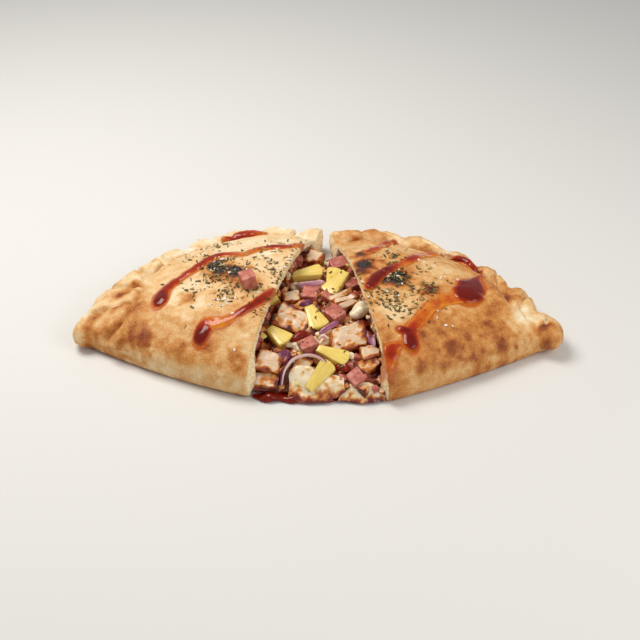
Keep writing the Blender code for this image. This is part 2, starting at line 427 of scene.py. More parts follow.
@dataclass(frozen=True)
class BakedDough:
    """Wheat dough from a hot stone oven: floury and matt where pale, browned on all that stood up.

    It reads four layers, each from 0 to 1: the browning, which also carries painted shade and painted light, the char,
    the stain and the crumb.
    """

    toasting: tuple[tuple[float, str], ...] = (
        (0.00, "#FAEDD6"),
        (0.20, "#F0D8AE"),
        (0.38, "#E2B67B"),
        (0.56, "#C98640"),
        (0.74, "#9C511F"),
        (1.00, "#55210F"),
    )
    speck: float = 0.9  # width of the finest brown flecks
    pore: float = 0.7  # width of the skin's pores

    def build(self) -> bpy.types.Material:
        """Wires the material."""
        graph = Graph(
            "baked pizza dough",
            {"Specular IOR Level": 0.3, "Subsurface Weight": 0.06, "Subsurface Scale": 0.003},
        )
        graph.shader.inputs["Subsurface Radius"].default_value = (1.0, 0.5, 0.25)
        blotch = graph.math("MULTIPLY_ADD", graph.noise(4.5, 6.0), 0.34, -0.17)
        fleck = graph.math("MULTIPLY_ADD", graph.noise(self.speck, 3.0), 0.3, -0.15)
        toast_and_shade = graph.math("ADD", graph.math("ADD", graph.layer("toast_and_shade"), blotch), fleck)
        colour = graph.gradient(toast_and_shade, self.toasting)
        inside = graph.gradient(graph.noise(1.6, 3.0), ((0.3, "#EBC489"), (0.62, "#FFEBC4")))
        colour = graph.blend(graph.layer("crumb"), colour, inside)
        stain = graph.layer("stain")
        colour = graph.blend(graph.spread(stain, 0.02, 0.9, 0.0, 0.92), colour, "#B9560F")
        char = graph.layer("char")
        soot = graph.gradient(graph.noise(1.3, 2.0), ((0.35, "#17120F"), (0.7, "#4A3C38")))
        colour = graph.blend(graph.spread(char, 0.15, 0.8), colour, soot)
        graph.to_shader("Base Color", colour)
        dull = graph.spread(graph.noise(7.0), 0.3, 0.7, 0.5, 0.66)
        wet = graph.math("MAXIMUM", stain, graph.math("MULTIPLY", char, 0.7))
        graph.to_shader("Roughness", graph.math("MULTIPLY_ADD", wet, -0.34, dull))
        skin = graph.bump(graph.noise(self.pore, 3.0), 0.2)
        graph.to_shader("Normal", graph.bump(graph.noise(2.6, 5.0), 0.5, skin))
        return graph.material


# --------------------------------------------------------------------------------------------------
# The dough


@dataclass(frozen=True)
class Crimp:
    """One pinched fold of the rim: a fat strand lying slantwise over the rim's middle line."""

    at: float  # angle along the rim's sweep in degrees, 0 at the cut and 90 at the tip
    length: float
    radius: float = 9.0
    slant: float = 24.0
    lift: float = 0.0


@dataclass(frozen=True)
class Half:
    """The plan frame and outline of one half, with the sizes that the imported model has."""

    name: str
    hand: int  # -1 for the left half and 1 for the right one
    corner: tuple[float, float]
    turn: float
    lean: float
    bow: float
    fullness: float
    crown: float
    crimps: tuple[Crimp, ...]
    crease: Line  # where the rope of folds meets the dome, from the cut to the tip
    seams: tuple[Line, ...]  # where one fold overlaps the next
    length: float = 100.5
    depth: float = 141.0

    def axes(self) -> tuple[Vector, Vector]:
        """Plan directions of growing w and growing s."""
        turn = math.radians(self.turn)
        along = Vector((self.hand * math.cos(turn), math.sin(turn)))
        return along, Vector((-self.hand * math.sin(turn), math.cos(turn)))

    def plan(self, w: float, s: float) -> Vector:
        """Plan place of a point of this half."""
        along, inward = self.axes()
        return Vector(self.corner) + along * w + inward * s

    def local(self, points: np.ndarray) -> tuple[np.ndarray, np.ndarray]:
        """The w and s of many places."""
        away = points[:, :2] - np.array(self.corner)
        along, inward = self.axes()
        return away @ np.array(along), away @ np.array(inward)

    def fold(self, w: float) -> float:
        """Distance s of the folded front edge at w."""
        return self.lean * w + self.bow * (w / self.length) ** 2

    def rim(self, w: float) -> float:
        """Distance s of the rim's middle line at w."""
        share = min(max(w / self.length, 0.0), 1.0)
        return self.depth * (1.0 - share**self.fullness) ** (1.0 / self.fullness)

    def rim_place(self, angle: float) -> tuple[Vector, Vector]:
        """Point (w, s) of the rim's middle line at an angle of its sweep, and its direction."""
        power = 2.0 / self.fullness
        w = self.length * math.sin(angle) ** power
        s = self.depth * math.cos(angle) ** power
        slope_w = (w / self.length) ** (self.fullness - 1.0) / self.length
        slope_s = (s / self.depth) ** (self.fullness - 1.0) / self.depth
        return Vector((w, s)), Vector((slope_s, -slope_w)).normalized()

    def height(self, w: float) -> float:
        """Height of the dome at w, lower towards the tip."""
        share = min(max(w / self.length, 0.0), 1.0)
        return self.crown * (1.0 - 0.62 * share**2.1)

    def point(self, w: float, s: float, z: float) -> Vector:
        """Place of a point of this half."""
        return Vector((*self.plan(w, s), z))

    def crease_depths(self, w: np.ndarray, s: np.ndarray, ragged: np.ndarray) -> tuple[np.ndarray, ...]:
        """How deep in the rope's creases each place lies and how far inside the inner crease, both 0 to 1."""
        line = curve_through(self.crease, 0.7)
        gaps = self.rim_gap(line[:, 0], line[:, 1])
        tree = nearest_of([(pw, ps, 0.0) for pw, ps in line])
        numbers = np.array([tree((pw, ps, 0.0)) for pw, ps in zip(w, s)])
        away = np.hypot(w - line[numbers, 0], s - line[numbers, 1])
        inside = np.where(self.rim_gap(w, s) > gaps[numbers], away, -away)
        fade = ramp(w, 4.0, 16.0)
        crease = fade * np.exp(-((inside / (2.0 + 0.6 * ragged)) ** 2))
        for seam in self.seams:
            best = np.full(len(w), 99.0)
            for pw, ps in curve_through(seam, 0.7):
                best = np.minimum(best, np.hypot(w - pw, s - ps))
            crease = np.maximum(crease, np.exp(-((best / 1.4) ** 2)))
        return crease, fade * np.exp(-(((inside - 7.0) / 4.5) ** 2))

    def rim_gap(self, w: np.ndarray, s: np.ndarray) -> np.ndarray:
        """How far inside the rim's middle line each place lies."""
        across, deep = np.clip(w, 0.0, None) / self.length, np.clip(s, 0.0, None) / self.depth
        reach = (across**self.fullness + deep**self.fullness) ** (1.0 / self.fullness)
        return (1.0 - reach) * np.hypot(w, s) / np.maximum(reach, 0.05)


@dataclass(frozen=True)
class Spot:
    """A soft-edged patch on a half: its middle, its reach and its strength."""

    w: float
    s: float
    reach: float
    strength: float

    def mask(self, w: np.ndarray, s: np.ndarray, ragged: np.ndarray) -> np.ndarray:
        """Its strength at each place; ragged is noise that roughens its edge."""
        away = np.hypot(w - self.w, s - self.s) * (1.0 + 0.6 * ragged) / self.reach
        return self.strength * np.exp(-(away**2.4)) * (1.0 + 0.5 * ragged)


PEAK_AT = 0.54
BACK_DROP = 0.70
BULGE = 12.0
BULGE_TOP = 24.0


def dome_height(share: float) -> float:
    """Height of the roof as a share of its crown, from 0 at the fold to the rim at 1."""
    if share < PEAK_AT:
        return (1.0 - (1.0 - share / PEAK_AT) ** 3.5) ** 0.4
    return 1.0 - BACK_DROP * ((share - PEAK_AT) / (1.0 - PEAK_AT)) ** 2


@dataclass
class Crust:
    """The dough of one half: a hollow dome with a crimped rim, open at its cut."""

    half: Half
    toasts: tuple[Spot, ...]
    chars: tuple[Spot, ...]
    films: tuple[Spot, ...]
    sauces: tuple["Drizzle", ...]
    tan: float  # how much darker than the palest golden the whole half is
    seed: int
    roof: float = 3.2
    front_wall: float = 6.5
    floor: float = 4.0
    seal: float = 15.0
    past_cut: float = 6.0
    dome_end: float = 99.0
    cavity_end: float = 84.0
    roll: float = 7.8
    coarse: float = 1.0  # voxel of the first, blended body
    fine: float = 0.8  # voxel of the finished skin
    roof_steps: int = 64
    floor_steps: int = 14
    item: Item | None = field(default=None, init=False)

    def section(self, w: float, hollow: bool) -> list[Vector]:
        """One section across w, of the outside or of the hollow."""
        half = self.half
        fold, rim = half.fold(w), half.rim(w)
        start = fold + (self.front_wall if hollow else 0.0)
        end = max(rim - self.seal, start + 1.0) if hollow else rim
        under = self.floor if hollow else 0.0
        corners = []
        for i in range(self.roof_steps):
            share = 0.5 - 0.5 * math.cos(math.pi * i / (self.roof_steps - 1))
            s = start + share * (end - start)
            outer = (s - fold) / max(rim - fold, 1.0)
            blend = share + (outer - share) * share
            z = half.height(w) * dome_height(blend) - (self.roof if hollow else 0.0)
            z = max(z, under + 0.8)
            swell = min(z / BULGE_TOP, 1.0)
            corners.append((s - BULGE * swell * (1.0 - swell) * (1.0 - share), z))
        if not hollow:
            slope = 0.5 * (half.rim(w + 1.0) - half.rim(w - 1.0))
            bulge = self.roll * min(math.hypot(1.0, slope), 1.5)
            for i in range(1, 12):
                turn = math.pi * i / 12
                corners.append((rim + bulge * math.sin(turn), self.roll * (1.0 + math.cos(turn))))
        for i in range(self.floor_steps):
            corners.append((end + (start - end) * i / (self.floor_steps - 1), under))
        return [half.point(w, s, z) for s, z in corners]

    def shell(self, hollow: bool) -> Item:
        """The body of the dome, or of the space inside it, both reaching past the cut."""
        end = self.cavity_end if hollow else self.dome_end
        rings = []
        for i in range(48):
            w = -self.past_cut + (end + self.past_cut) * math.sin(0.5 * math.pi * i / 47)
            rings.append(self.section(w, hollow))
        return lofted("shell", rings)

    def strand(self, crimp: Crimp) -> Item:
        """One fold of the rim: thin where it starts outside, fat and round at its inner nose."""
        centre, tangent = self.half.rim_place(math.radians(crimp.at))
        slant = math.radians(crimp.slant) * self.half.hand
        turned = Matrix.Rotation(-slant, 2)
        along = turned @ tangent
        across = Vector((-along.y, along.x))
        rings = []
        for r in range(26):
            place = math.cos(math.pi * (r + 0.5) / 26)
            nose = 0.5 - 0.5 * place if self.half.hand > 0 else 0.5 + 0.5 * place
            girth = crimp.radius * (1.0 - abs(place) ** 2.6) ** 0.45 * (0.88 + 0.12 * nose)
            bowed = 1.2 * (1.0 - place * place)
            middle = centre - along * (0.5 * crimp.length * place) + across * bowed
            z = crimp.radius * (0.88 + 0.12 * nose) + 0.25 + (crimp.lift + 0.8) * nose
            ring = []
            for i in range(28):
                turn = 2.0 * math.pi * i / 28
                side, up = math.cos(turn), math.sin(turn)
                if up < -0.01:
                    side = math.copysign(abs(side) ** 0.5, side)
                w, s = middle + across * (girth * side)
                ring.append(self.half.point(w, s, max(z + girth * up, 0.05)))
            rings.append(ring)
        return lofted("strand", rings)

    def knead(self) -> BVHTree:
        """Blends dome and folds into one body, hollows and cuts it, and returns its outside."""
        parts = [self.shell(hollow=False)] + [self.strand(crimp) for crimp in self.half.crimps]
        self.item = join(f"dough_{self.half.name}", parts)
        apply_modifier(self.item, "REMESH", mode="VOXEL", voxel_size=self.coarse * MM)
        apply_modifier(self.item, "SMOOTH", factor=0.5, iterations=5)
        outside = surface_of(self.item)
        self.cut_away(self.shell(hollow=True))
        self.cut_away(self.cutter())
        apply_modifier(self.item, "REMESH", mode="VOXEL", voxel_size=self.fine * MM)
        apply_modifier(self.item, "SMOOTH", factor=0.5, iterations=2)
        return outside

    def cutter(self) -> Item:
        """A block that takes off all the dough past the cut."""
        block = new_primitive("cutter", bpy.ops.mesh.primitive_cube_add, size=1.0)
        corners = points_of(block)
        places = []
        for x, y, z in corners:
            w, s = (-60.0 if x < 0 else 0.0), 75.0 + 230.0 * y
            places.append(tuple(self.half.point(w, s, 30.0 + 100.0 * z)))
        move_points(block, np.array(places))
        with editing(block):
            bpy.ops.mesh.normals_make_consistent(inside=False)
        return block

    def cut_away(self, other: Item) -> None:
        """Cuts another body away from the dough and removes it."""
        apply_modifier(self.item, "BOOLEAN", operation="DIFFERENCE", object=other, solver="MANIFOLD")
        bpy.data.objects.remove(other, do_unlink=True)

    def blisters(self) -> list[tuple[float, float, float, float, float]]:
        """Place, width, height and browning of every small bubble that rose in the skin."""
        chance = random.Random(self.seed)
        found = []
        for _ in range(230):
            w = chance.uniform(2.0, 98.0)
            fold, rim = self.half.fold(w), self.half.rim(w)
            s = fold + (rim - fold - 4.0) * chance.random() ** 1.25
            wide = chance.uniform(1.0, 3.8)
            near_front = max(1.0 - (s - fold) / 60.0, 0.25)
            browned = (0.02 + 0.2 * near_front * chance.random() ** 3) * (0.6 + self.tan)
            found.append((w, s, wide, wide * chance.uniform(0.03, 0.13), browned))
        return found

    def sculpt_and_toast(self, outside: BVHTree) -> None:
        """Moves the skin by its lumps, blisters and wrinkles, and stores how it browned, with painted shade in its
        creases and low at its front and painted light towards its back.
        """
        points, normals = points_of(self.item), normals_of(self.item)
        w, s = self.half.local(points)
        deep = np.array([outside.find_nearest(Vector(p * MM))[3] for p in points]) / MM
        skin = 1.0 - ramp(deep, 0.5, 1.3)
        crumb = 1.0 - skin
        rim_gap = self.half.rim_gap(w, s)
        on_rim = 1.0 - ramp(rim_gap, 4.0, 12.0)
        z = points[:, 2]
        above = ramp(z, 0.5, 4.0)

        broad = grain(points, 34.0, 2, self.seed + 0.1)
        lumps = grain(points, 12.0, 2, self.seed + 5.3)
        wrinkles = grain(points, 3.4, 2, self.seed + 9.1)
        ragged = grain(points, 6.0, 4, self.seed + 13.7)
        rise = 0.9 * broad + (0.5 + 0.3 * on_rim) * lumps + (0.16 + 0.2 * on_rim) * wrinkles
        toast_and_shade = self.tan + 0.09 * broad + 0.07 * lumps + 0.07 * wrinkles

        for bw, bs, wide, high, browned in self.blisters():
            away = np.hypot(w - bw, s - bs) * (1.0 + 0.3 * ragged) / wide
            bump = np.exp(-(away**2.2))
            rise += high * bump
            toast_and_shade += browned * bump
        crease, above_rope = self.half.crease_depths(w, s, ragged)
        rise += ramp(z, 6.0, 10.0) * (2.0 * above_rope - 3.3 * crease)
        # Painted shade: the creases are made darker, partly real browning and partly shade painted into the colour.
        toast_and_shade += (0.10 + 0.16 * ramp(lumps, -0.3, 0.5)) * crease + 0.06 * above_rope
        shoulder = ramp(z, 9.0, 18.0) * (1.0 - ramp(s - 26.0, 0.0, 22.0))
        toast_and_shade += 0.11 * shoulder * (1.0 - on_rim)
        # Painted shade: the low front faces are made a little darker, standing in for shade near the floor.
        toast_and_shade += 0.03 * (1.0 - ramp(z, 2.0, 9.0)) * (1.0 - on_rim)
        # Painted light: paler towards the back, standing in for the light from behind.
        toast_and_shade -= 0.05 * ramp(s - 60.0, 0.0, 50.0)
        toast_and_shade += 0.12 * on_rim * ramp(lumps, 0.1, 0.7)
        toast_and_shade -= 0.16 * on_rim * ramp(-rise, 0.3, 1.0)
        for spot in self.toasts:
            toast_and_shade += spot.mask(w, s, ragged)
        char = np.zeros(len(points))
        for spot in self.chars:
            char = np.maximum(char, spot.mask(w, s, ragged))
        toast_and_shade += 0.5 * char
        rise += 0.5 * char * (0.4 + grain(points, 2.2, 2, self.seed + 17.0))

        at_cut = 1.0 - ramp(w, 0.2, 1.4)
        bubbles = grain(points, 1.7, 3, self.seed + 21.0)
        rise = rise * skin * above - crumb * (0.25 + 0.55 * bubbles) * at_cut
        moved = points + normals * rise[:, None]
        along = self.half.axes()[0]
        low_front = (1.0 - ramp(s, 12.0, 20.0)) * (1.0 - ramp(z, 14.0, 22.0))
        slope = (0.2 + 0.4 * low_front) * np.clip(deep, 0.0, 6.0) * at_cut
        moved[:, :2] -= slope[:, None] * np.array(along)
        moved[:, 2] = np.where(z < 0.6, np.maximum(z, 0.0), np.maximum(moved[:, 2], 0.0))
        move_points(self.item, moved)

        stain = np.zeros(len(points))
        for film in self.films:
            stain = np.maximum(stain, film.mask(w, s, ragged))
        for drizzle in self.sauces:
            stain = np.maximum(stain, drizzle.stain(w, s, ragged))
        underside = 1.0 - ramp(z, 0.2, 1.2)
        toast_and_shade += 0.22 * underside
        set_layer(self.item, "toast_and_shade", np.clip(toast_and_shade, 0.0, 1.0) * skin + 0.1 * crumb)
        set_layer(self.item, "char", np.clip(char, 0.0, 1.0) * skin)
        set_layer(self.item, "stain", np.clip(stain, 0.0, 1.0) * (skin + 0.7 * crumb))
        set_layer(self.item, "crumb", crumb)

    def build(self, material: bpy.types.Material) -> Item:
        """Makes the dough and dresses it."""
        outside = self.knead()
        self.sculpt_and_toast(outside)
        shade(self.item)
        return finish_piece(self.item, material, "baked_dough", f"crust_{self.half.name}")


# --------------------------------------------------------------------------------------------------
# Sauce on the dough


@dataclass(frozen=True)
class Drizzle:
    """A run of barbecue sauce on one half, as rows of (w, s, width, thickness)."""

    name: str
    line: tuple[tuple[float, float, float, float], ...]
    halo: float = 1.6  # how far its thin orange edge has crept past the thick sauce
    amount: float = 1.0  # strength of that edge
    sides: int = 9

    def outline(self, step: float) -> tuple[np.ndarray, np.ndarray]:
        """Rows of (w, s, width, thickness) along the run, and how full it is near its rounded ends."""
        line = curve_through(self.line, step)
        uneven = [noise.noise(Vector((w, s, 3.0)) / 5.0) for w, s, _, _ in line]
        line[:, 2] *= 1.0 + 0.16 * np.array(uneven)
        travelled = np.concatenate([[0.0], np.cumsum(np.linalg.norm(np.diff(line[:, :2], axis=0), axis=1))])
        to_start = travelled / (0.5 * line[0, 2])
        to_end = (travelled[-1] - travelled) / (0.5 * line[-1, 2])
        near = np.clip(np.minimum(to_start, to_end), 0.0, 1.0)
        return line, np.sqrt(np.maximum(1.0 - (1.0 - near) ** 2, 0.004))

    def stain(self, w: np.ndarray, s: np.ndarray, ragged: np.ndarray) -> np.ndarray:
        """How strongly the dough at each place is stained."""
        best = np.full(len(w), 99.0)
        for (pw, ps, wide, _), full in zip(*self.outline(1.2)):
            best = np.minimum(best, np.hypot(w - pw, s - ps) - 0.44 * wide * full)
        return self.amount * (1.0 - ramp(best * (1.0 + 0.5 * ragged), 0.0, self.halo))

    def build(self, half: Half, ground: BVHTree) -> Item:
        """Lays the sauce on a surface.

        Args:
            half: the half that it lies on.
            ground: the outside of that half's dough.

        Returns:
            The sauce, with its thickness stored for the material.
        """
        rings, thick = [], []
        line, fullness = self.outline(0.6)
        for k, ((w, s, wide, high), full) in enumerate(zip(line, fullness)):
            ahead, behind = line[min(k + 1, len(line) - 1)], line[max(k - 1, 0)]
            forward = Vector((ahead[0] - behind[0], ahead[1] - behind[1])).normalized()
            side = Vector((-forward.y, forward.x))
            row, depth = [], []
            for j in range(-self.sides, self.sides + 1):
                share = math.sin(0.5 * math.pi * j / self.sides)
                offset = 0.5 * wide * full * share
                x, y = half.plan(max(w + side.x * offset, 0.9), s + side.y * offset)
                place, normal = drop(ground, x, y) or (half.point(w, s, 8.0), UP)
                rise = high * full**0.7 * (1.0 - abs(share) ** 2.2) ** 0.6
                row.append(place + normal * (rise - 0.12))
                depth.append(rise)
            rings.append(row)
            thick.append(depth)
        across, along = 2 * self.sides + 1, len(rings)
        item = new_primitive(
            self.name, bpy.ops.mesh.primitive_grid_add, x_subdivisions=across - 1, y_subdivisions=along - 1
        )
        move_points(item, np.array([tuple(p) for row in rings for p in row]))
        set_layer(item, "thick", np.array(thick).ravel())
        self.close_below(item)
        return item

    def close_below(self, item: Item) -> None:
        """Gives the sauce a flat underside, sunk a little into the dough, so that it is a closed body."""
        apply_modifier(item, "SOLIDIFY", thickness=0.3 * MM, offset=-1.0)
        with editing(item):
            bpy.ops.mesh.normals_make_consistent(inside=False)
        shade(item)


@dataclass(frozen=True)
class BarbecueSauce:
    """Barbecue sauce: a dark, sugary glaze that lets orange light through where it is thin."""

    def build(self) -> bpy.types.Material:
        """Wires the material."""
        graph = Graph(
            "barbecue sauce glaze",
            {
                "Roughness": 0.12, "Specular IOR Level": 0.27, "Coat Weight": 0.06, "Coat Roughness": 0.06,
                "Subsurface Weight": 0.1, "Subsurface Scale": 0.002,
            },
        )
        graph.shader.inputs["Subsurface Radius"].default_value = (1.0, 0.25, 0.06)
        uneven = graph.math("MULTIPLY_ADD", graph.noise(4.0), 0.9, -0.45)
        depth = graph.math("ADD", graph.layer("thick"), uneven)
        stops = ((0.08, "#D98424"), (0.25, "#C25A15"), (0.46, "#A32C0A"), (0.8, "#6C1204"))
        graph.to_shader("Base Color", graph.gradient(graph.math("MULTIPLY", depth, 0.5), stops))
        graph.to_shader("Normal", graph.bump(graph.noise(2.2, 1.0), 0.1))
        return graph.material


# --------------------------------------------------------------------------------------------------
# The filling


@dataclass(frozen=True)
class Lump:
    """Where one piece of the filling lies: the middle of what shows, its size and how it is turned."""

    x: float
    y: float
    z: float
    size: tuple[float, float, float]
    spin: float = 0.0
    tilt: float = 0.0  # lifts the far edge
    roll: float = 0.0
    sunk: float = 0.34  # share of its height that its middle lies below the given place
    sauced: float = 0.0  # how much further the sauce has crept up it

    def matrix(self) -> Matrix:
        """How it is turned."""
        spin, tilt, roll = (math.radians(turn) for turn in (self.spin, self.tilt, self.roll))
        return Matrix.Rotation(tilt, 3, "X") @ Matrix.Rotation(roll, 3, "Y") @ Matrix.Rotation(spin, 3, "Z")

    def lay(self, item: Item) -> None:
        """Turns a piece made around the origin and moves it to its place."""
        turned = points_of(item) @ np.array(self.matrix()).T
        middle = np.array((self.x, self.y + 0.1 * self.size[2], self.z - self.sunk * self.size[2]))
        move_points(item, turned + middle)

    def seed(self) -> float:
        """A number that differs from piece to piece."""
        return 7.3 * self.x + 3.1 * self.y


def block(lump: Lump, uneven: float, step: float, softening: int) -> Item:
    """A cut block with uneven corners and soft edges around the origin, in faces about one step wide."""
    item = new_primitive("block", bpy.ops.mesh.primitive_cube_add, size=1.0 * MM)
    chance = random.Random(lump.seed())
    corners = points_of(item) * np.array(lump.size)
    jitter = [[chance.uniform(-uneven, uneven) * side for side in lump.size] for _ in corners]
    move_points(item, corners + np.array(jitter))
    with editing(item):
        bpy.ops.mesh.subdivide(number_cuts=round(max(lump.size) / step) - 1)
    apply_modifier(item, "SMOOTH", factor=0.5, iterations=softening)
    return item


def roughen(item: Item, size: float, depth: float, shift: float) -> None:
    """Moves the surface in and out by noise."""
    points = points_of(item)
    move_points(item, points + normals_of(item) * (depth * grain(points, size, 2, shift))[:, None])


@dataclass(frozen=True)
class Ham:
    """Cooked ham, cut into dice."""

    def shape(self, lump: Lump) -> Item:
        """One dice."""
        item = block(lump, 0.05, 0.75, 1)
        roughen(item, 5.0, 0.2, lump.seed())
        set_local(item)
        lump.lay(item)
        return item

    def material(self) -> bpy.types.Material:
        """Moist pink cured meat with paler grain and a slightly browned face here and there."""
        graph = Graph(
            "cooked ham",
            {"Roughness": 0.38, "Specular IOR Level": 0.45, "Subsurface Weight": 0.15, "Subsurface Scale": 0.002},
        )
        graph.shader.inputs["Subsurface Radius"].default_value = (1.0, 0.35, 0.25)
        flesh = graph.gradient(graph.noise(2.6, 4.0), ((0.3, "#AA5547"), (0.5, "#C06C59"), (0.72, "#D5917F")))
        seared = graph.spread(graph.noise(6.0), 0.55, 0.7, 0.0, 0.6)
        graph.to_shader("Base Color", graph.blend(seared, flesh, "#8F3B2A"))
        graph.to_shader("Normal", graph.bump(graph.noise(0.8), 0.05))
        return graph.material


@dataclass(frozen=True)
class Chicken:
    """Roast chicken breast, cut across its fibres."""

    def shape(self, lump: Lump) -> Item:
        """One torn-edged chunk; its lower and outer sides are the roasted ones."""
        item = block(lump, 0.17, 0.95, 3)
        points = points_of(item)
        lumps = grain(points, 5.0, 2, lump.seed() + 4.0)
        curved = points + np.outer(0.06 * points[:, 0] ** 2 + 1.2 * lumps, (0.0, 1.0, 0.0))
        fibres = grain(curved * np.array((0.2, 1.0, 0.6)), 1.3, 2, lump.seed())
        rise = 0.12 * fibres + 0.9 * lumps
        half_size = np.array(lump.size) / 2.0
        share = points / half_size
        seared = ramp(-share[:, 2] + 0.35 * lumps, 0.15, 0.8)
        edge = np.maximum(np.abs(share[:, 0]), np.abs(share[:, 1])) + 0.35 * lumps
        seared = np.maximum(seared, 0.62 * ramp(edge, 0.72, 1.05)) + lump.sauced
        set_layer(item, "seared", seared)
        moved = points + normals_of(item) * rise[:, None]
        move_points(item, curved)
        set_local(item)
        move_points(item, moved)
        lump.lay(item)
        return item

    def material(self) -> bpy.types.Material:
        """White meat with fine fibres, golden to dark brown where it was seared or sauced."""
        graph = Graph(
            "roast chicken breast",
            {"Roughness": 0.34, "Specular IOR Level": 0.5, "Subsurface Weight": 0.15, "Subsurface Scale": 0.002},
        )
        graph.shader.inputs["Subsurface Radius"].default_value = (1.0, 0.6, 0.45)
        fibre = graph.streaks(0.8, (7.0, 1.0, 2.0))
        meat = graph.gradient(fibre, ((0.2, "#CFAA85"), (0.5, "#DEBF9C"), (0.8, "#ECD8BD")))
        patch = graph.math("ADD", graph.layer("seared"), graph.math("MULTIPLY_ADD", graph.noise(4.0, 5.0), 1.7, -0.78))
        glaze = graph.gradient(patch, ((0.12, "#E3BE92"), (0.32, "#D58D3E"), (0.6, "#A64D17"), (0.9, "#521808")))
        graph.to_shader("Base Color", graph.blend(graph.spread(patch, 0.08, 0.34), meat, glaze))
        graph.to_shader("Normal", graph.bump(fibre, 0.08))
        return graph.material


@dataclass(frozen=True)
class Pineapple:
    """Pineapple tidbits: fans cut from a ring, wide at the rind side."""

    spread: float = 0.9  # radians that the fan spans
    rings: int = 14
    around: int = 20

    def shape(self, lump: Lump) -> Item:
        """One fan, its narrow end at -x; size gives its length, its wide end and its thickness."""
        length, wide, thick = lump.size
        rings = []
        for r in range(self.rings):
            share = 0.5 - 0.5 * math.cos(math.pi * (r + 0.35) / (self.rings - 0.3))
            width = wide * (0.42 + 0.58 * share)
            rounding = (1.0 - abs(2.0 * share - 1.0) ** 9) ** 0.4
            ring = []
            for i in range(self.around):
                turn = 2.0 * math.pi * i / self.around
                side, up = math.cos(turn), math.sin(turn)
                side = math.copysign(abs(side) ** 0.34, side)
                up = math.copysign(abs(up) ** 0.34, up)
                bowed = 0.10 * length * (1.0 - side * side) * (1.0 if share > 0.5 else 0.4)
                across = 0.5 * width * side * (0.82 + 0.18 * rounding)
                ring.append(Vector(((share - 0.5) * length + bowed * abs(2 * share - 1), across,
                                    0.5 * thick * up * (0.8 + 0.2 * rounding))))
            rings.append(ring)
        item = lofted("fan", rings)
        apply_modifier(item, "SUBSURF", levels=1, render_levels=1)
        points = points_of(item)
        along = grain(points * np.array((0.22, 1.0, 1.0)), 1.5, 2, lump.seed())
        move_points(item, points + normals_of(item) * (0.05 * along)[:, None])
        set_local(item)
        # Deeper brown towards the underside of each fan, and further on fans given more sauce.
        set_layer(item, "height_less_sauce", np.clip(points[:, 2] / thick + 0.5 - lump.sauced, 0.0, 1.0))
        lump.lay(item)
        return item

    def material(self) -> bpy.types.Material:
        """Juicy yellow flesh with fibres along the fan, deeper brown towards each fan's underside and on fans given
        more sauce.
        """
        graph = Graph(
            "pineapple",
            {
                "Roughness": 0.26, "Specular IOR Level": 0.5, "Subsurface Weight": 0.25,
                "Subsurface Scale": 0.003, "Coat Weight": 0.25, "Coat Roughness": 0.12,
            },
        )
        graph.shader.inputs["Subsurface Radius"].default_value = (1.0, 0.7, 0.2)
        fibre = graph.streaks(1.1, (6.0, 1.0, 1.0))
        flesh = graph.gradient(fibre, ((0.2, "#DFB648"), (0.5, "#EACC66"), (0.8, "#F5E094")))
        darker_below = graph.spread(graph.math("ADD", graph.layer("height_less_sauce"), graph.noise(4.0)), 0.95, 0.5, 0.0, 0.8)
        graph.to_shader("Base Color", graph.blend(darker_below, flesh, "#A8600F"))
        graph.to_shader("Normal", graph.bump(fibre, 0.07))
        return graph.material


@dataclass(frozen=True)
class OnionSlice:
    """Where a curved slice of onion lies, as rows of (x, y, z), and how wide and thick it is."""

    line: tuple[tuple[float, float, float], ...]
    wide: float = 3.2
    thick: float = 1.3
    purple: float = 1.0


@dataclass(frozen=True)
class Onion:
    """Red onion, in curved slices with a purple outer skin."""

    around: int = 14

    def shape(self, piece: OnionSlice) -> Item:
        """One slice."""
        line = curve_through(piece.line, 0.7)
        middle = line.mean(axis=0)
        rings, skins = [], []
        for k, place in enumerate(line):
            ahead, behind = line[min(k + 1, len(line) - 1)], line[max(k - 1, 0)]
            forward = Vector(ahead - behind).normalized()
            away = Vector(place - middle)
            away = (away - forward * away.dot(forward)).normalized()
            side = forward.cross(away)
            end = min(k, len(line) - 1 - k) / 3.0
            taper = min(0.35 + 0.65 * end, 1.0)
            ring = []
            for i in range(self.around):
                turn = 2.0 * math.pi * i / self.around
                out, up = math.cos(turn), math.sin(turn)
                ring.append(
                    Vector(place) + side * (0.5 * piece.wide * taper * up) + away * (0.5 * piece.thick * out)
                )
                skins.append(piece.purple * max(out, 0.0) ** 0.7)
            rings.append(ring)
        item = lofted("slice", rings)
        nearest = nearest_of([tuple(place) for ring in rings for place in ring])
        set_layer(item, "skin", np.array([skins[nearest(place)] for place in points_of(item)]))
        return item

    def material(self) -> bpy.types.Material:
        """Glassy white layers, purple at the skin side."""
        graph = Graph(
            "red onion",
            {"Roughness": 0.28, "Specular IOR Level": 0.5, "Subsurface Weight": 0.2, "Subsurface Scale": 0.002},
        )
        tone = graph.math("ADD", graph.layer("skin"), graph.math("MULTIPLY_ADD", graph.noise(3.5), 0.5, -0.25))
        stops = ((0.06, "#EBD0C3"), (0.24, "#CE9AA2"), (0.5, "#9F5A78"), (0.9, "#6F3149"))
        graph.to_shader("Base Color", graph.gradient(tone, stops))
        return graph.material


@dataclass(frozen=True)
class Flap:
    """A tongue of melted cheese: its upper edge and its lower edge as rows of (x, y, z)."""

    upper: tuple[tuple[float, float, float], ...]
    lower: tuple[tuple[float, float, float], ...]
    bulge: float = 3.0
    thick: float = 1.8


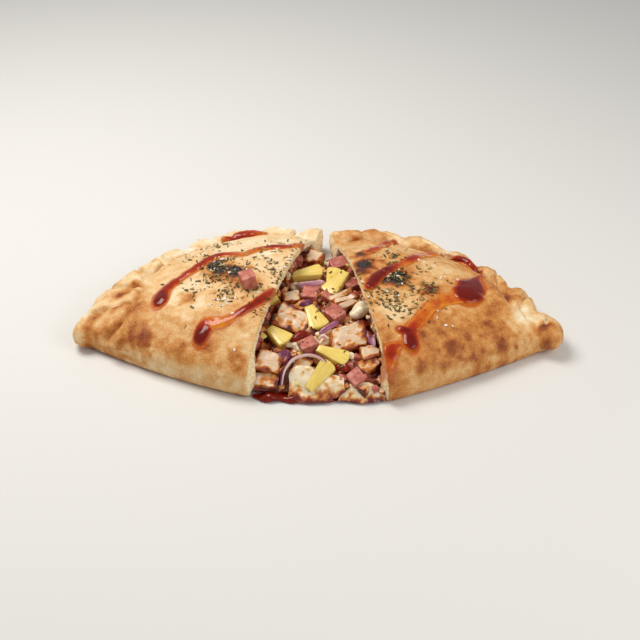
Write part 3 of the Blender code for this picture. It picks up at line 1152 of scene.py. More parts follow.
@dataclass(frozen=True)
class Cheese:
    """Melted mozzarella, stained by the sauce it ran into."""

    steps: int = 26

    def flap(self, piece: Flap) -> Item:
        """A sheet from the upper edge to the lower one, bulging forwards, with a rounded rim."""
        count = 3 * self.steps
        upper = curve_through(piece.upper, 0.5)
        lower = curve_through(piece.lower, 0.5)
        item = new_primitive(
            "flap", bpy.ops.mesh.primitive_grid_add, x_subdivisions=count, y_subdivisions=self.steps
        )
        grid = points_of(item).reshape(self.steps + 1, count + 1, 3)
        share = np.linspace(0.0, 1.0, count + 1)
        top = np.column_stack([np.interp(share, np.linspace(0, 1, len(upper)), upper[:, k]) for k in range(3)])
        low = np.column_stack([np.interp(share, np.linspace(0, 1, len(lower)), lower[:, k]) for k in range(3)])
        for row in range(self.steps + 1):
            v = row / self.steps
            grid[row] = top + (low - top) * v
            grid[row][:, 1] -= piece.bulge * math.sin(math.pi * v) ** 0.8
        flat = grid.reshape(-1, 3)
        move_points(item, flat)
        set_layer(item, "stained", np.repeat(0.9 * np.linspace(0.0, 1.0, self.steps + 1) ** 2.5, count + 1))
        apply_modifier(item, "SOLIDIFY", thickness=piece.thick * MM, offset=0.0)
        apply_modifier(item, "SUBSURF", levels=1, render_levels=1)
        roughen(item, 9.0, 1.4, piece.upper[0][0])
        roughen(item, 3.0, 0.1, piece.upper[0][1])
        with editing(item):
            bpy.ops.mesh.normals_make_consistent(inside=False)
        keep_above(item, 0.15)
        return item

    def blob(self, lump: Lump) -> Item:
        """A soft heap of melted cheese between the pieces."""
        finer = 5 if lump.size[0] > 9.0 else 4
        item = new_primitive("blob", bpy.ops.mesh.primitive_ico_sphere_add, subdivisions=finer, radius=0.5 * MM)
        move_points(item, points_of(item) * np.array(lump.size))
        roughen(item, 0.6 * lump.size[0], 0.2 * lump.size[0], lump.seed())
        roughen(item, 2.5, 0.15, lump.seed() + 3.0)
        points = points_of(item)
        set_layer(item, "stained", ramp(-points[:, 2] / lump.size[2], -0.1, 0.45) + lump.sauced)
        lump.lay(item)
        keep_above(item, 0.15)
        return item

    def material(self) -> bpy.types.Material:
        """Glossy cream, browned and reddened at its lower edges."""
        graph = Graph(
            "melted mozzarella",
            {
                "Roughness": 0.3, "Specular IOR Level": 0.5, "Subsurface Weight": 0.2, "Subsurface Scale": 0.002,
                "Coat Weight": 0.4, "Coat Roughness": 0.12,
            },
        )
        graph.shader.inputs["Subsurface Radius"].default_value = (1.0, 0.8, 0.5)
        tone = graph.math("ADD", graph.layer("stained"), graph.math("MULTIPLY_ADD", graph.noise(4.5, 3.0), 2.3, -0.98))
        stops = ((0.22, "#F3DFBA"), (0.42, "#E6BF86"), (0.62, "#CB7F36"), (0.82, "#A0421A"), (1.0, "#6B1D09"))
        graph.to_shader("Base Color", graph.gradient(tone, stops))
        graph.to_shader("Normal", graph.bump(graph.noise(2.5), 0.15))
        return graph.material


def keep_above(item: Item, floor: float) -> None:
    """Lifts what lies lower than a height to that height."""
    points = points_of(item)
    points[:, 2] = np.maximum(points[:, 2], floor)
    move_points(item, points)


@dataclass
class SauceBed:
    """The sauce and small scraps that hold the filling together, from one half's hollow to the other's."""

    left: Half
    right: Half
    sink: float = 5.5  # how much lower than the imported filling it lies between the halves
    reach: float = 80.0
    gap: float = 0.6
    crest: float = 24.0
    around: int = 72

    def heap_height(self, u: float, v: float) -> float:
        """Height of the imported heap; u runs from the left cut to the right one, v from front to back."""
        front = 1.0 - math.exp(-v * 141.0 / 26.0 * 1.6)
        return 4.0 + (self.crest - 4.0) * front * (1.0 - 0.35 * v**3) * (1.0 - 0.10 * (2.0 * u - 1.0) ** 2)

    def heap_ring(self, u: float) -> list[Vector]:
        """One section between the cuts, from front to back over the top and back along the ground."""
        ring = []
        for i in range(self.around):
            on_top = i < 56
            v = 0.5 - 0.5 * math.cos(math.pi * i / 55) if on_top else 1.0 - (i - 55.5) / 16.0
            s = 1.5 + v * 123.5
            plan = self.left.plan(-0.3, s).lerp(self.right.plan(-0.3, s), u)
            back = 7.0 * max(v - 0.8, 0.0) / 0.2
            z = max(self.heap_height(u, v) - self.sink * min(1.0, 5.0 * v) - back, 2.0) if on_top else 0.2
            forward = 1.5 * math.sin(math.pi * u) * (1.0 - v) ** 6
            ring.append(Vector((plan.x, plan.y - forward, z)))
        return ring

    def lobe_ring(self, half: Half, w: float) -> list[Vector]:
        """One section inside a half, a little clear of its dough."""
        fold, rim = half.fold(w), half.rim(w)
        start, end = fold + 6.0, max(rim - 16.0, fold + 8.0)
        ring = []
        for i in range(self.around):
            on_top = i < 56
            v = 0.5 - 0.5 * math.cos(math.pi * i / 55) if on_top else 1.0 - (i - 55.5) / 16.0
            s = start + v * (end - start)
            share = (s - fold) / max(rim - fold, 1.0)
            z = max(0.78 * (half.height(w) * dome_height(share) - 4.5), 4.8) if on_top else 4.6
            ring.append(half.point(w, s, z))
        return ring

    def build(self, material: bpy.types.Material) -> Item:
        """Makes the bed, rough with scraps of meat and cheese under the sauce."""
        stations = [self.reach * (1.0 - i / 16.0) + 1.0 for i in range(17)]
        rings = [self.lobe_ring(self.left, w) for w in stations]
        rings += [self.heap_ring(i / 30.0) for i in range(31)]
        rings += [self.lobe_ring(self.right, w) for w in reversed(stations)]
        item = lofted("sauce_bed", rings)
        apply_modifier(item, "REMESH", mode="VOXEL", voxel_size=1.1 * MM)
        points, normals = points_of(item), normals_of(item)
        chunks = grain(points, 6.0, 2, 3.0)
        fine = grain(points, 1.8, 2, 8.0)
        open_air = ramp(points[:, 2], 1.0, 4.0)
        between = 1.0 - ramp(np.abs(points[:, 0]), 55.0, 62.0)
        rise = (1.3 * chunks + 0.35 * fine) * open_air * between
        set_layer(item, "thick", 0.75 + 0.55 * chunks)
        set_layer(item, "scrap", ramp(chunks, 0.15, 0.6))
        move_points(item, points + normals * rise[:, None])
        shade(item)
        return finish_piece(item, material, "filling", "filling")


@dataclass(frozen=True)
class SaucedScraps:
    """Dark barbecue sauce over scraps of meat and cheese."""

    def build(self) -> bpy.types.Material:
        """Wires the material."""
        graph = Graph(
            "sauced filling",
            {"Roughness": 0.2, "Specular IOR Level": 0.5, "Coat Weight": 0.35, "Coat Roughness": 0.1},
        )
        tone = graph.math("MULTIPLY_ADD", graph.noise(3.5, 4.0), 0.9, graph.math("MULTIPLY", graph.layer("scrap"), 0.4))
        stops = ((0.25, "#3A0B03"), (0.45, "#6E1B06"), (0.62, "#A03C11"), (0.8, "#C77B38"), (1.0, "#E0B684"))
        graph.to_shader("Base Color", graph.gradient(tone, stops))
        graph.to_shader("Normal", graph.bump(graph.noise(1.6), 0.3))
        return graph.material


# --------------------------------------------------------------------------------------------------
# Herbs and salt


def strewn(name: str, flakes: Sequence[tuple], thickness: float, bend: float) -> Item:
    """Many small flat flakes as one object.

    Args:
        name: the new object's name.
        flakes: for each its place, normal, spin, length, width and tone.
        thickness: of every flake.
        bend: how far a flake's ends rise or fall, as a share of its length.

    Returns:
        The object, each flake's tone stored as a layer.
    """
    item = copies(name, len(flakes), bpy.ops.mesh.primitive_cube_add, size=1.0)
    corners = points_of(item)[:8] * MM
    places, tones = [], []
    for number, (place, normal, spin, long, wide, tone) in enumerate(flakes):
        turned = UP.rotation_difference(normal) @ Quaternion(UP, spin)
        curl = bend * long * (1.0 if number % 3 else -0.6)
        for x, y, z in corners:
            lift = curl * (1.0 if x > 0 else 0.15) + 0.5 * thickness
            local = Vector((x * long, y * wide * (1.0 if x > 0 else 0.55), z * thickness + lift))
            places.append(tuple(place + turned @ local))
            tones.append(tone)
    move_points(item, np.array(places))
    set_layer(item, "tone", np.array(tones))
    return item


@dataclass(frozen=True)
class Patch:
    """A cluster of sprinkles on a half: its middle, its reach and how many lie in it."""

    w: float
    s: float
    reach: float
    count: int


def highest(grounds: Sequence[BVHTree], x: float, y: float) -> tuple[Vector, Vector] | None:
    """The uppermost place and its normal of several surfaces, straight above or below a plan place."""
    found = [hit for hit in (drop(ground, x, y) for ground in grounds) if hit]
    return max(found, key=lambda hit: hit[0].z, default=None)


def sprinkle(
    half: Half, grounds: Sequence[BVHTree], patches: Sequence[Patch], seed: int, longest: float, shortest: float, slim: float
) -> list[tuple]:
    """Seeded flakes over some patches of a half's dough, as strewn() takes them."""
    chance = random.Random(seed)
    flakes = []
    for patch in patches:
        for _ in range(patch.count):
            w = chance.gauss(patch.w, 0.5 * patch.reach)
            w = max(w, 1.2) if patch.w > 0.0 else w
            s = chance.gauss(patch.s, 0.5 * patch.reach)
            found = highest(grounds, *half.plan(w, s))
            if found is None or found[1].z < 0.45:
                continue
            place, normal = found
            long = chance.uniform(shortest, longest)
            leaning = Vector((chance.gauss(0, 0.22), chance.gauss(0, 0.22), 0.0))
            flakes.append(
                (place, (normal + leaning).normalized(), chance.uniform(0.0, 6.283), long,
                 long * chance.uniform(slim, 1.6 * slim), chance.random())
            )
    return flakes


@dataclass(frozen=True)
class DriedHerbs:
    """Dried oregano, from dark green to straw."""

    def material(self) -> bpy.types.Material:
        """Wires the material."""
        graph = Graph("dried oregano", {"Roughness": 0.7})
        stops = ((0.0, "#30260F"), (0.3, "#57461D"), (0.6, "#7A652F"), (0.85, "#B09355"))
        graph.to_shader("Base Color", graph.gradient(graph.layer("tone"), stops))
        return graph.material


@dataclass(frozen=True)
class CoarseSalt:
    """Coarse salt."""

    def material(self) -> bpy.types.Material:
        """Wires the material."""
        graph = Graph("coarse salt", {"Roughness": 0.18, "Specular IOR Level": 0.5, "Subsurface Weight": 0.3,
                                      "Subsurface Scale": 0.001})
        graph.shader.inputs["Base Color"].default_value = linear("#EFE6D8")
        return graph.material


# --------------------------------------------------------------------------------------------------
# What lies where

LEFT = Half(
    "left", -1, (-36.9, -72.56), 15.6, 0.02, 14.0, 2.16, 35.5,
    (
        Crimp(1, 30, slant=8), Crimp(12, 34), Crimp(25, 36), Crimp(37, 32), Crimp(49, 42),
        Crimp(62, 40, lift=3), Crimp(71, 36, lift=3), Crimp(80.5, 34, radius=8.8, slant=10, lift=1),
    ),
    crease=((4, 136), (20, 132), (38, 126), (54, 115.5), (70, 98), (78, 82), (81, 68), (83, 57), (80, 42),
            (79, 30), (81, 20), (87, 13)),
    seams=(
        ((15, 147), (14.5, 141), (17, 134)),
        ((67, 121), (62, 117), (54, 115)),
        ((79, 104), (75, 101), (70, 98)),
        ((89, 92), (84, 88), (79, 81)),
        ((99, 74), (93, 72), (86, 66), (82, 62)),
        ((105, 52), (98, 51), (90, 54), (83, 57)),
        ((106, 22), (99, 27), (91, 34), (82, 36)),
    ),
)
RIGHT = Half(
    "right", 1, (37.4, -76.36), 11.5, 0.16, 9.0, 2.05, 31.0,
    (
        Crimp(3, 36, slant=10), Crimp(18, 38), Crimp(32, 36), Crimp(45, 34, radius=8.4),
        Crimp(56, 34, radius=8.4), Crimp(67.5, 34, radius=8.2), Crimp(78, 28, radius=8.4, slant=10, lift=1),
    ),
    crease=((4, 135), (27, 130), (42, 121), (55, 111), (68, 101), (77, 87.6), (81.5, 72.5), (83, 57.5),
            (85, 46)),
    seams=(
        ((30, 144), (36, 136), (44, 124), (50, 115)),
        ((55, 125), (60, 117), (66, 108), (70, 99)),
        ((74, 110), (78, 101), (80, 92), (78, 84)),
        ((90, 86), (87, 78), (84, 66), (84, 54)),
        ((100, 60), (94, 54), (90, 48), (86, 44)),
        ((103, 36), (99.5, 33), (97, 27)),
    ),
)
LEFT_TOASTS = (
    Spot(46.5, 38, 4.8, 0.46), Spot(63.5, 11, 6.5, 0.30), Spot(97, 14, 5.0, 0.26), Spot(92.5, 45.5, 3.2, 0.42),
    Spot(89, 49.5, 4.2, 0.26), Spot(88.5, 56, 3.5, 0.24), Spot(36, 34, 5.0, -0.10), Spot(4.5, 4, 5.0, 0.24),
    Spot(84, 10.5, 6.0, 0.18), Spot(38.5, 4.5, 6.0, 0.14), Spot(36, 62, 10.0, 0.22), Spot(18, 53, 8.0, 0.18), Spot(30, 58, 9.0, 0.14),
    Spot(30, 13, 20.0, 0.08), Spot(60, 20, 12.0, 0.07), Spot(24, 8, 5.0, 0.12), Spot(52, 9, 4.0, 0.14),
    Spot(74, 28, 5.0, 0.12), Spot(57, 33, 11.0, -0.08), Spot(44, 27, 9.0, -0.05), Spot(20, 30, 12.0, -0.04),
)
LEFT_CHARS = (
    Spot(41.5, 68.0, 5.4, 1.2), Spot(37.5, 64.0, 5.0, 1.1), Spot(28.5, 64.5, 4.8, 1.15),
    Spot(25.0, 61.0, 4.2, 1.0), Spot(33.0, 66.5, 4.0, 0.7), Spot(36.0, 59.0, 3.0, 0.5),
)
RIGHT_TOASTS = (
    Spot(38.5, 14.5, 5.5, 0.2), Spot(66.5, 18.5, 4.0, 0.06), Spot(30, 5, 6, -0.05), Spot(53.5, 8, 3.5, 0.14),
    Spot(94.5, 17, 4.5, 0.16), Spot(97.0, 29, 5.5, -0.24), Spot(90, 40, 13.0, -0.3), Spot(86, 31, 8.0, -0.2), Spot(12, 38, 9.0, -0.22),
    Spot(50, 77, 11.0, -0.14), Spot(66, 27, 6.0, 0.05), Spot(18, 7, 7.0, -0.07), Spot(4, 1, 5.0, 0.12),
    Spot(38.5, 58, 5.0, 0.38), Spot(8.5, 99, 5.0, 0.35), Spot(6, 85, 6.5, 0.42), Spot(2.6, 78, 4.0, 0.3),
    Spot(20, 71, 11.0, 0.2), Spot(84, 56, 3.5, 0.24), Spot(82, 68, 3.0, 0.2), Spot(44, 26, 8.0, 0.06),
    Spot(12, 133, 5.0, 0.2), Spot(28, 134, 6.0, 0.14), Spot(5, 137, 7.0, 0.1), Spot(90, 60, 8.0, 0.1),
    Spot(78, 95, 9.0, 0.1), Spot(60, 38, 13.0, 0.05), Spot(12, 104, 6.0, -0.1),
)
RIGHT_CHARS = (
    Spot(21.0, 69.5, 6.4, 1.3), Spot(14.5, 68.5, 4.2, 1.0), Spot(17.0, 73.5, 4.0, 1.0), Spot(25.5, 72.5, 3.8, 1.0), Spot(20.5, 65.0, 3.4, 0.9),
    Spot(39.0, 57.0, 2.4, 0.6), Spot(6.4, 85.0, 5.2, 1.0), Spot(8.5, 99.5, 3.6, 0.6),
    Spot(3.0, 80.0, 3.0, 0.5), Spot(95.0, 17.0, 1.6, 0.25),
)
LEFT_FILMS = (
    Spot(37, 64, 9, 0.6), Spot(48, 74, 6, 0.5), Spot(21, 59, 7, 0.5), Spot(14, 97, 6, 0.35), Spot(22, 48, 5, 0.3),
)
RIGHT_FILMS = (
    Spot(28, 77, 9, 0.6), Spot(15, 67, 8, 0.6), Spot(46, 96, 7, 0.5), Spot(37, 52, 8, 0.4), Spot(7, 86, 9, 0.45),
    Spot(18, 32, 6, 0.3), Spot(63, 62, 9, 0.35), Spot(1.5, 8.5, 6.5, 0.85), Spot(1, 34, 4, 0.4),
)
LEFT_DRIZZLES = (
    Drizzle(
        "sauce_left_upper",
        (
            (0.6, 104.5, 5.5, 0.5), (5, 99.5, 6.5, 0.7), (10, 96, 6.5, 1.3), (17, 94, 6, 1.2), (24.8, 88.6, 5.5, 0.6),
            (30.4, 81.5, 5, 0.5), (38, 82, 5.5, 0.8), (43.5, 81, 6.5, 1.2), (47, 75.5, 6.5, 1.3),
            (51, 69, 6, 1.2), (54.6, 62, 5.5, 1.0), (58.4, 55.5, 5.5, 1.0), (62, 48.6, 6.5, 1.2),
            (63.5, 42, 8.0, 1.5), (62.5, 36, 9.5, 2.0), (61.5, 30.5, 9.5, 2.0),
        ),
        halo=2.4,
    ),
    Drizzle(
        "sauce_left_lower",
        (
            (0.8, 50.5, 4.5, 0.8), (3, 44, 6, 1.3), (6.5, 37, 6, 1.5), (12, 30, 5.5, 1.3), (15.5, 25.5, 5, 0.7),
            (20, 22, 6.5, 0.4), (25, 20.8, 8.5, 0.4), (28.5, 19.5, 10, 0.9), (29.5, 14.5, 9.8, 2.0), (29, 9, 9.8, 2.0),
        ),
        halo=2.2,
    ),
    Drizzle(
        "sauce_left_rim",
        ((56, 117.5, 3.5, 0.7), (50, 123, 6.5, 1.2), (44, 127.5, 9, 1.0), (39, 130.5, 8, 0.7), (34, 132.5, 4.5, 0.5)),
        halo=2.0,
    ),
)
RIGHT_DRIZZLES = (
    Drizzle(
        "sauce_right_upper",
        (
            (3.2, 60.5, 5, 1.6), (7, 66, 7, 1.9), (12, 71.5, 7, 1.9), (21.5, 78.5, 6, 1.4), (29, 83, 5, 0.6),
            (35.6, 87.5, 6, 1.1), (43, 94.5, 6, 0.6), (49.6, 100, 6.5, 0.5), (58, 104.5, 6, 1.0),
            (65, 104, 6.5, 1.4), (70.5, 99.5, 6.5, 1.5), (74.5, 93, 6, 1.4), (78.5, 87, 5, 1.0),
        ),
        halo=2.4,
    ),
    Drizzle(
        "sauce_right_middle",
        (
            (60, 51, 8, 0.5), (50, 48.5, 9.5, 0.5),
            (41, 46.0, 8.5, 0.5), (33, 39.5, 6.5, 0.5), (25, 32.0, 6.5, 0.6), (19.5, 26.5, 7, 1.1),
            (16.5, 21, 8, 1.7), (16.0, 16.5, 8, 1.9), (16.0, 13.5, 8, 1.9),
        ),
        halo=2.6,
    ),
    Drizzle(
        "sauce_right_blob",
        (
            (77, 73.0, 2, 0.5), (73.5, 71, 2.6, 0.8), (70.8, 69, 3.6, 1.1), (68.8, 66.6, 6.5, 1.4),
            (66.6, 63.4, 11, 1.8), (64.2, 60, 15.4, 2.1), (61.6, 56.2, 17.6, 2.3), (59, 52.2, 17.8, 2.4),
            (56.4, 48.2, 16, 2.2), (54.8, 44.6, 12, 1.8),
        ),
        halo=2.4,
    ),
    Drizzle("sauce_right_fork", ((10.5, 26.8, 4.5, 1.2), (14, 25.4, 5, 1.5), (18.5, 23.5, 5, 1.5)), halo=1.6),
    Drizzle(
        "sauce_right_back",
        (
            (36.5, 126.5, 5.5, 0.9), (30, 120, 6, 1.0), (24, 112.5, 5.5, 0.7), (16, 103, 5.5, 0.9), (11.5, 99.5, 5, 0.9),
        ),
        halo=2.2,
    ),
    Drizzle("sauce_right_cut", ((11, 17, 2.5, 0.5), (7, 15.8, 5, 0.9), (3.8, 13, 8.5, 1.1), (2, 9, 6.5, 0.7), (1.4, 5, 3, 0.4)),
            halo=2.4),
)
HAM_LUMPS = (
    Lump(-4.3, -9.3, 22.5, (8.5, 8.5, 8.5), spin=-6, tilt=10),
    Lump(19.6, 0.7, 21.5, (8, 8, 8), spin=35),
    Lump(9.7, -29.1, 23, (9.2, 9, 9), spin=42, tilt=8),
    Lump(-4.5, -52.4, 19.5, (10, 9, 8.5), spin=24, roll=-12),
    Lump(20.7, -68.4, 11.5, (8.8, 8.6, 8.6), spin=40, tilt=22),
    Lump(12.5, 24.5, 20.5, (11, 8, 7), spin=20, tilt=12),
)
CHICKEN_LUMPS = (
    Lump(-2.2, 31.7, 19, (11, 9, 8), spin=70),
    Lump(-14.5, -11.3, 21.5, (10, 9, 8), spin=10, tilt=10),
    Lump(-14.9, -32.7, 22.5, (20, 14, 10), spin=-26, tilt=18, roll=4, sauced=0.13),
    Lump(12, -11.5, 22.5, (13, 3.4, 8), spin=24, tilt=15),
    Lump(15, -14.8, 22.5, (14, 3.6, 8.5), spin=20, tilt=20),
    Lump(17, -18.4, 21.5, (11, 3.4, 7.5), spin=30, tilt=15),
    Lump(16.6, -45.7, 21.5, (19, 15, 10), spin=14, tilt=24, sauced=0.05),
    Lump(-26.6, -60.5, 16, (12.5, 11, 9), spin=-14, tilt=26, sauced=0.06),
    Lump(28.1, -55.8, 17.5, (11, 9, 7), spin=15, tilt=12),
    Lump(27.1, -62.8, 15.0, (10.5, 9.5, 8.5), spin=38, tilt=20, sauced=0.3),
    Lump(-28.6, -68.5, 9.5, (14, 8, 5.5), spin=-10, tilt=26, sauced=0.25),
    Lump(-8.5, -63.5, 14.0, (10, 8, 7), spin=60, tilt=32),
)
PINEAPPLE_LUMPS = (
    Lump(-7.1, 12.4, 22, (18, 10, 7.5), spin=14, tilt=12),
    Lump(8.5, 6.5, 23, (13, 10, 5.5), spin=75, tilt=10),
    Lump(11.5, 1.0, 24, (18, 12, 5.5), spin=-128, tilt=14, roll=-6),
    Lump(-1.9, -30.9, 23, (16, 13, 7.5), spin=-66, tilt=14, sauced=0.12),
    Lump(-21.7, -44.2, 20.5, (14, 12, 7.5), spin=-42, tilt=10, sauced=0.35),
    Lump(7.5, -57.5, 18.5, (17.5, 10, 6.5), spin=-22, tilt=22),
    Lump(0.6, -68.8, 12.5, (18, 10.5, 6.5), spin=52, tilt=42),
)
CHEESE_LUMPS = (
    # Painted light: this lump's negative sauced value makes it paler, against the shade of the right half.
    Lump(23.0, -23.6, 23, (14, 9, 7), spin=50, sauced=-0.2),
    Lump(-24.5, -27, 19, (7, 6, 5)),
    Lump(3.5, -40.5, 19.5, (9, 5, 4), spin=20),
    Lump(9, 17, 19, (8, 7, 5)),
    Lump(-13, 3, 19, (7, 6, 5)),
    Lump(-12, -50, 17.5, (12, 5, 4), spin=-35),
    Lump(17, -55.5, 16, (8, 5, 4)),
    Lump(-17, -23, 20, (5, 8, 4)),
)
ONION_SLICES = (
    OnionSlice(
        ((-19.2, -71.8, 8.0), (-18.2, -68.0, 12.5), (-15.8, -64.5, 15.5), (-11.9, -61.3, 17.8), (-5, -60, 19),
         (1, -61.5, 18.5), (5.6, -64, 16.5)),
        wide=4.6, thick=1.8, purple=1.7,
    ),
    OnionSlice(((-12.5, 1.2, 20.5), (-4.4, 0.6, 22.0), (4.5, 3.2, 21.4)), wide=3.6, thick=1.4, purple=0.4),
    OnionSlice(((-24, -8, 18), (-21.5, -8.8, 21.4), (-18.5, -12.5, 20.5)), wide=7.0, thick=1.6, purple=1.3),
    OnionSlice(((-10.5, -19, 20.5), (-6.5, -19.5, 22.5), (-3, -16.5, 21.5)), wide=4.5, thick=1.4, purple=1.2),
    OnionSlice(((-21, -55, 16), (-18.1, -57.2, 18.6), (-15, -60.5, 16)), wide=7.0, thick=1.6, purple=1.3),
    OnionSlice(((31, -42, 18.5), (29.8, -47, 20), (30.5, -53, 18)), wide=3.0, thick=1.3, purple=0.5),
    OnionSlice(((27, -40, 19.5), (26.5, -45, 20.5), (28.5, -50, 18.5)), wide=2.6, thick=1.2, purple=0.7),
    OnionSlice(((0.5, -48.5, 20), (3, -47, 21.6), (6, -48.5, 20.5)), wide=4.6, thick=1.8, purple=0.0),
    OnionSlice(((1, -43, 20), (6, -40, 22), (11.5, -34.5, 21.5)), wide=3.0, thick=1.3, purple=0.6),
    OnionSlice(((13, -70, 7), (11.5, -67, 10), (12.5, -63.5, 12)), wide=2.6, thick=1.2, purple=0.2),
    OnionSlice(((5, 31, 18), (8, 28, 20), (6, 23, 19.5)), wide=3.0, thick=1.3, purple=0.4),
)
CHEESE_FLAPS = (
    Flap(
        ((-15, -66, 11), (-10.5, -64, 14), (-5, -64, 14), (3, -66.5, 12.5), (14, -69, 10)),
        ((-15.5, -74, 2.5), (-9, -77, 1.0), (2, -77.3, 1.0), (8, -75.6, 2.6), (15, -73.0, 6.5)),
        bulge=2.0, thick=2.2,
    ),
    Flap(
        ((14, -70, 6.5), (20, -70, 8), (28, -70.5, 8), (35.5, -71.5, 6)),
        ((11, -76.3, 1.0), (19, -77.4, 1.0), (28, -77.4, 1.0), (36, -76, 1.2)),
        bulge=1.0, thick=2.2,
    ),
)
SAUCE_POOLS = (
    Lump(-20.5, -73.0, 3.6, (31, 10, 5), sunk=0.5),
    Lump(25, -33, 20, (9, 5, 4), sunk=0.5),
    Lump(-9.5, -42.0, 20.2, (17, 10, 5), sunk=0.5),
    Lump(33.5, -70, 8, (6, 6, 6), sunk=0.5),
    Lump(14, -74.5, 2.0, (22, 5, 3.4), sunk=0.5),
    Lump(13.6, -63.5, 15.6, (7, 9, 4.6), sunk=0.5),
    Lump(-11.0, 24.0, 18.6, (9, 9, 4), sunk=0.5),
)
LEFT_HERBS = (
    Patch(61.5, 85, 14, 26), Patch(38, 53, 11, 36), Patch(24, 46, 11, 44), Patch(51, 98.5, 13, 28),
    Patch(6, 35, 9, 26), Patch(4, 67, 9, 24), Patch(16, 89, 16, 20), Patch(36, 65, 13, 90),
    Patch(28, 66, 44, 50), Patch(8, 74, 14, 20), Patch(10, 108, 22, 18), Patch(14, 48, 10, 24),
)
RIGHT_HERBS = (
    Patch(11.5, 47, 11, 44), Patch(18, 38, 11, 36), Patch(22, 89, 14, 36), Patch(31, 76, 12, 34),
    Patch(21, 69, 9, 50), Patch(24, 60, 38, 50), Patch(8, 56, 10, 30), Patch(39, 57, 7, 26),
    Patch(28, 52, 12, 28), Patch(30, 104, 24, 16),
)
HEAP_HERBS = (Patch(-26, 30, 26, 26), Patch(-34, 66, 26, 18), Patch(-26, 84, 14, 8))
LEFT_SALT = (
    Patch(31, 32, 2, 2), Patch(24, 35, 4, 6), Patch(10.6, 8, 1, 1), Patch(3, 72, 3, 2), Patch(19, 84, 4, 2),
    Patch(16, 46, 14, 6), Patch(41, 69, 9, 7), Patch(26, 61, 7, 6), Patch(10, 80, 16, 4), Patch(22, 33, 12, 5),
)
RIGHT_SALT = (
    Patch(41, 63, 1.5, 2), Patch(22, 69, 8, 8), Patch(35, 34, 3, 2), Patch(40, 28, 3, 2), Patch(60, 57, 4, 3),
    Patch(41, 86, 6, 4), Patch(53, 71, 8, 4), Patch(16, 50, 18, 8),
)


@dataclass
class Filling:
    """All the pieces of the filling, by kind."""

    left: Half
    right: Half
    bed: BVHTree
    scraps: int = 260
    seed: int = 5
    crowding: float = 0.8

    def spots(self) -> Iterator[tuple[float, float, float]]:
        """Seeded places on the sauce bed, between the cuts and just inside the halves."""
        chance = random.Random(self.seed)
        while True:
            u, v = chance.uniform(-0.18, 1.18), chance.uniform(0.02, 0.93)
            s = -0.5 + v * 125.0
            if u < 0.0:
                plan = self.left.plan(-u * 60.0, 8.0 + 0.8 * s)
            elif u > 1.0:
                plan = self.right.plan((u - 1.0) * 60.0, 8.0 + 0.8 * s)
            else:
                plan = self.left.plan(-1.0, s).lerp(self.right.plan(-1.0, s), u)
            found = drop(self.bed, *plan)
            if found and found[0].z > 2.0:
                yield tuple(found[0])

    def scattered(self) -> dict[str, list[Lump]]:
        """Small pieces that fill the gaps between the placed ones."""
        chance = random.Random(self.seed + 1)
        taken = [
            (lump.x, lump.y, 0.3 * (lump.size[0] + lump.size[1]))
            for lumps in (HAM_LUMPS, CHICKEN_LUMPS, PINEAPPLE_LUMPS, CHEESE_LUMPS)
            for lump in lumps
        ]
        found = {"ham": [], "chicken": [], "pineapple": [], "cheese": []}
        kinds = ("ham", "chicken", "chicken", "cheese", "chicken", "pineapple", "chicken", "ham")
        tries = 0
        for x, y, z in self.spots():
            tries += 1
            if tries > 6000 or sum(len(lumps) for lumps in found.values()) >= self.scraps:
                break
            side = chance.uniform(3.4, 7.5)
            near = self.crowding * 0.5 * side
            if any(math.hypot(x - tx, y - ty) < near + self.crowding * reach for tx, ty, reach in taken):
                continue
            taken.append((x, y, 0.5 * side))
            size = tuple(side * chance.uniform(0.75, 1.2) for _ in range(3))
            turns = {"spin": chance.uniform(0, 360), "tilt": chance.uniform(-25, 35), "roll": chance.uniform(-30, 30)}
            kind = chance.choice(kinds)
            if kind == "cheese" and y < -60.0:
                kind = "chicken"
            if kind == "cheese":
                size = (1.5 * size[0], 1.2 * size[1], 0.5 * size[2])
            found[kind].append(Lump(x, y, z + 0.18 * side, size, sunk=0.1, sauced=0.25, **turns))
        return found

    def build(self, sauce: bpy.types.Material) -> list[BVHTree]:
        """Makes every piece, joins those of one kind, and returns the surface of each kind."""
        extra = self.scattered()
        ham, chicken, pineapple, onion, cheese = Ham(), Chicken(), Pineapple(), Onion(), Cheese()
        fans = (*PINEAPPLE_LUMPS, *extra["pineapple"])
        chunks = (*CHICKEN_LUMPS, *extra["chicken"])
        dice = (*HAM_LUMPS, *extra["ham"])
        blobs = (*CHEESE_LUMPS, *extra["cheese"])
        melted = cheese.material()
        pieces = (
            self.gather("ham_dice_inside", ham.shape, dice, ham.material(), "ham"),
            self.gather("chicken_chunks", chicken.shape, chunks, chicken.material(), "chicken"),
            self.gather("pineapple_fans", pineapple.shape, fans, pineapple.material(), "pineapple"),
            self.gather("onion_slices", onion.shape, ONION_SLICES, onion.material(), "red_onion"),
            self.gather("melted_cheese", cheese.blob, blobs, melted, "cheese"),
            self.gather("cheese_flaps", cheese.flap, CHEESE_FLAPS, melted, "cheese"),
            self.gather("sauce_pools", self.pool, SAUCE_POOLS, sauce, "barbecue_sauce"),
        )
        return [self.bed, *(surface_of(piece) for piece in pieces)]

    def pool(self, lump: Lump) -> Item:
        """A puddle of sauce between the pieces."""
        item = Cheese().blob(lump)
        set_layer(item, "thick", np.full(len(item.data.vertices), 1.5))
        return item

    def gather(
        self, name: str, shape: Callable[[object], Item], wanted: Iterable, material: bpy.types.Material, slot: str
    ) -> Item:
        """Shapes all pieces of a kind and finishes them as one object."""
        item = join(name, [shape(piece) for piece in wanted])
        shade(item)
        return finish_piece(item, material, slot)


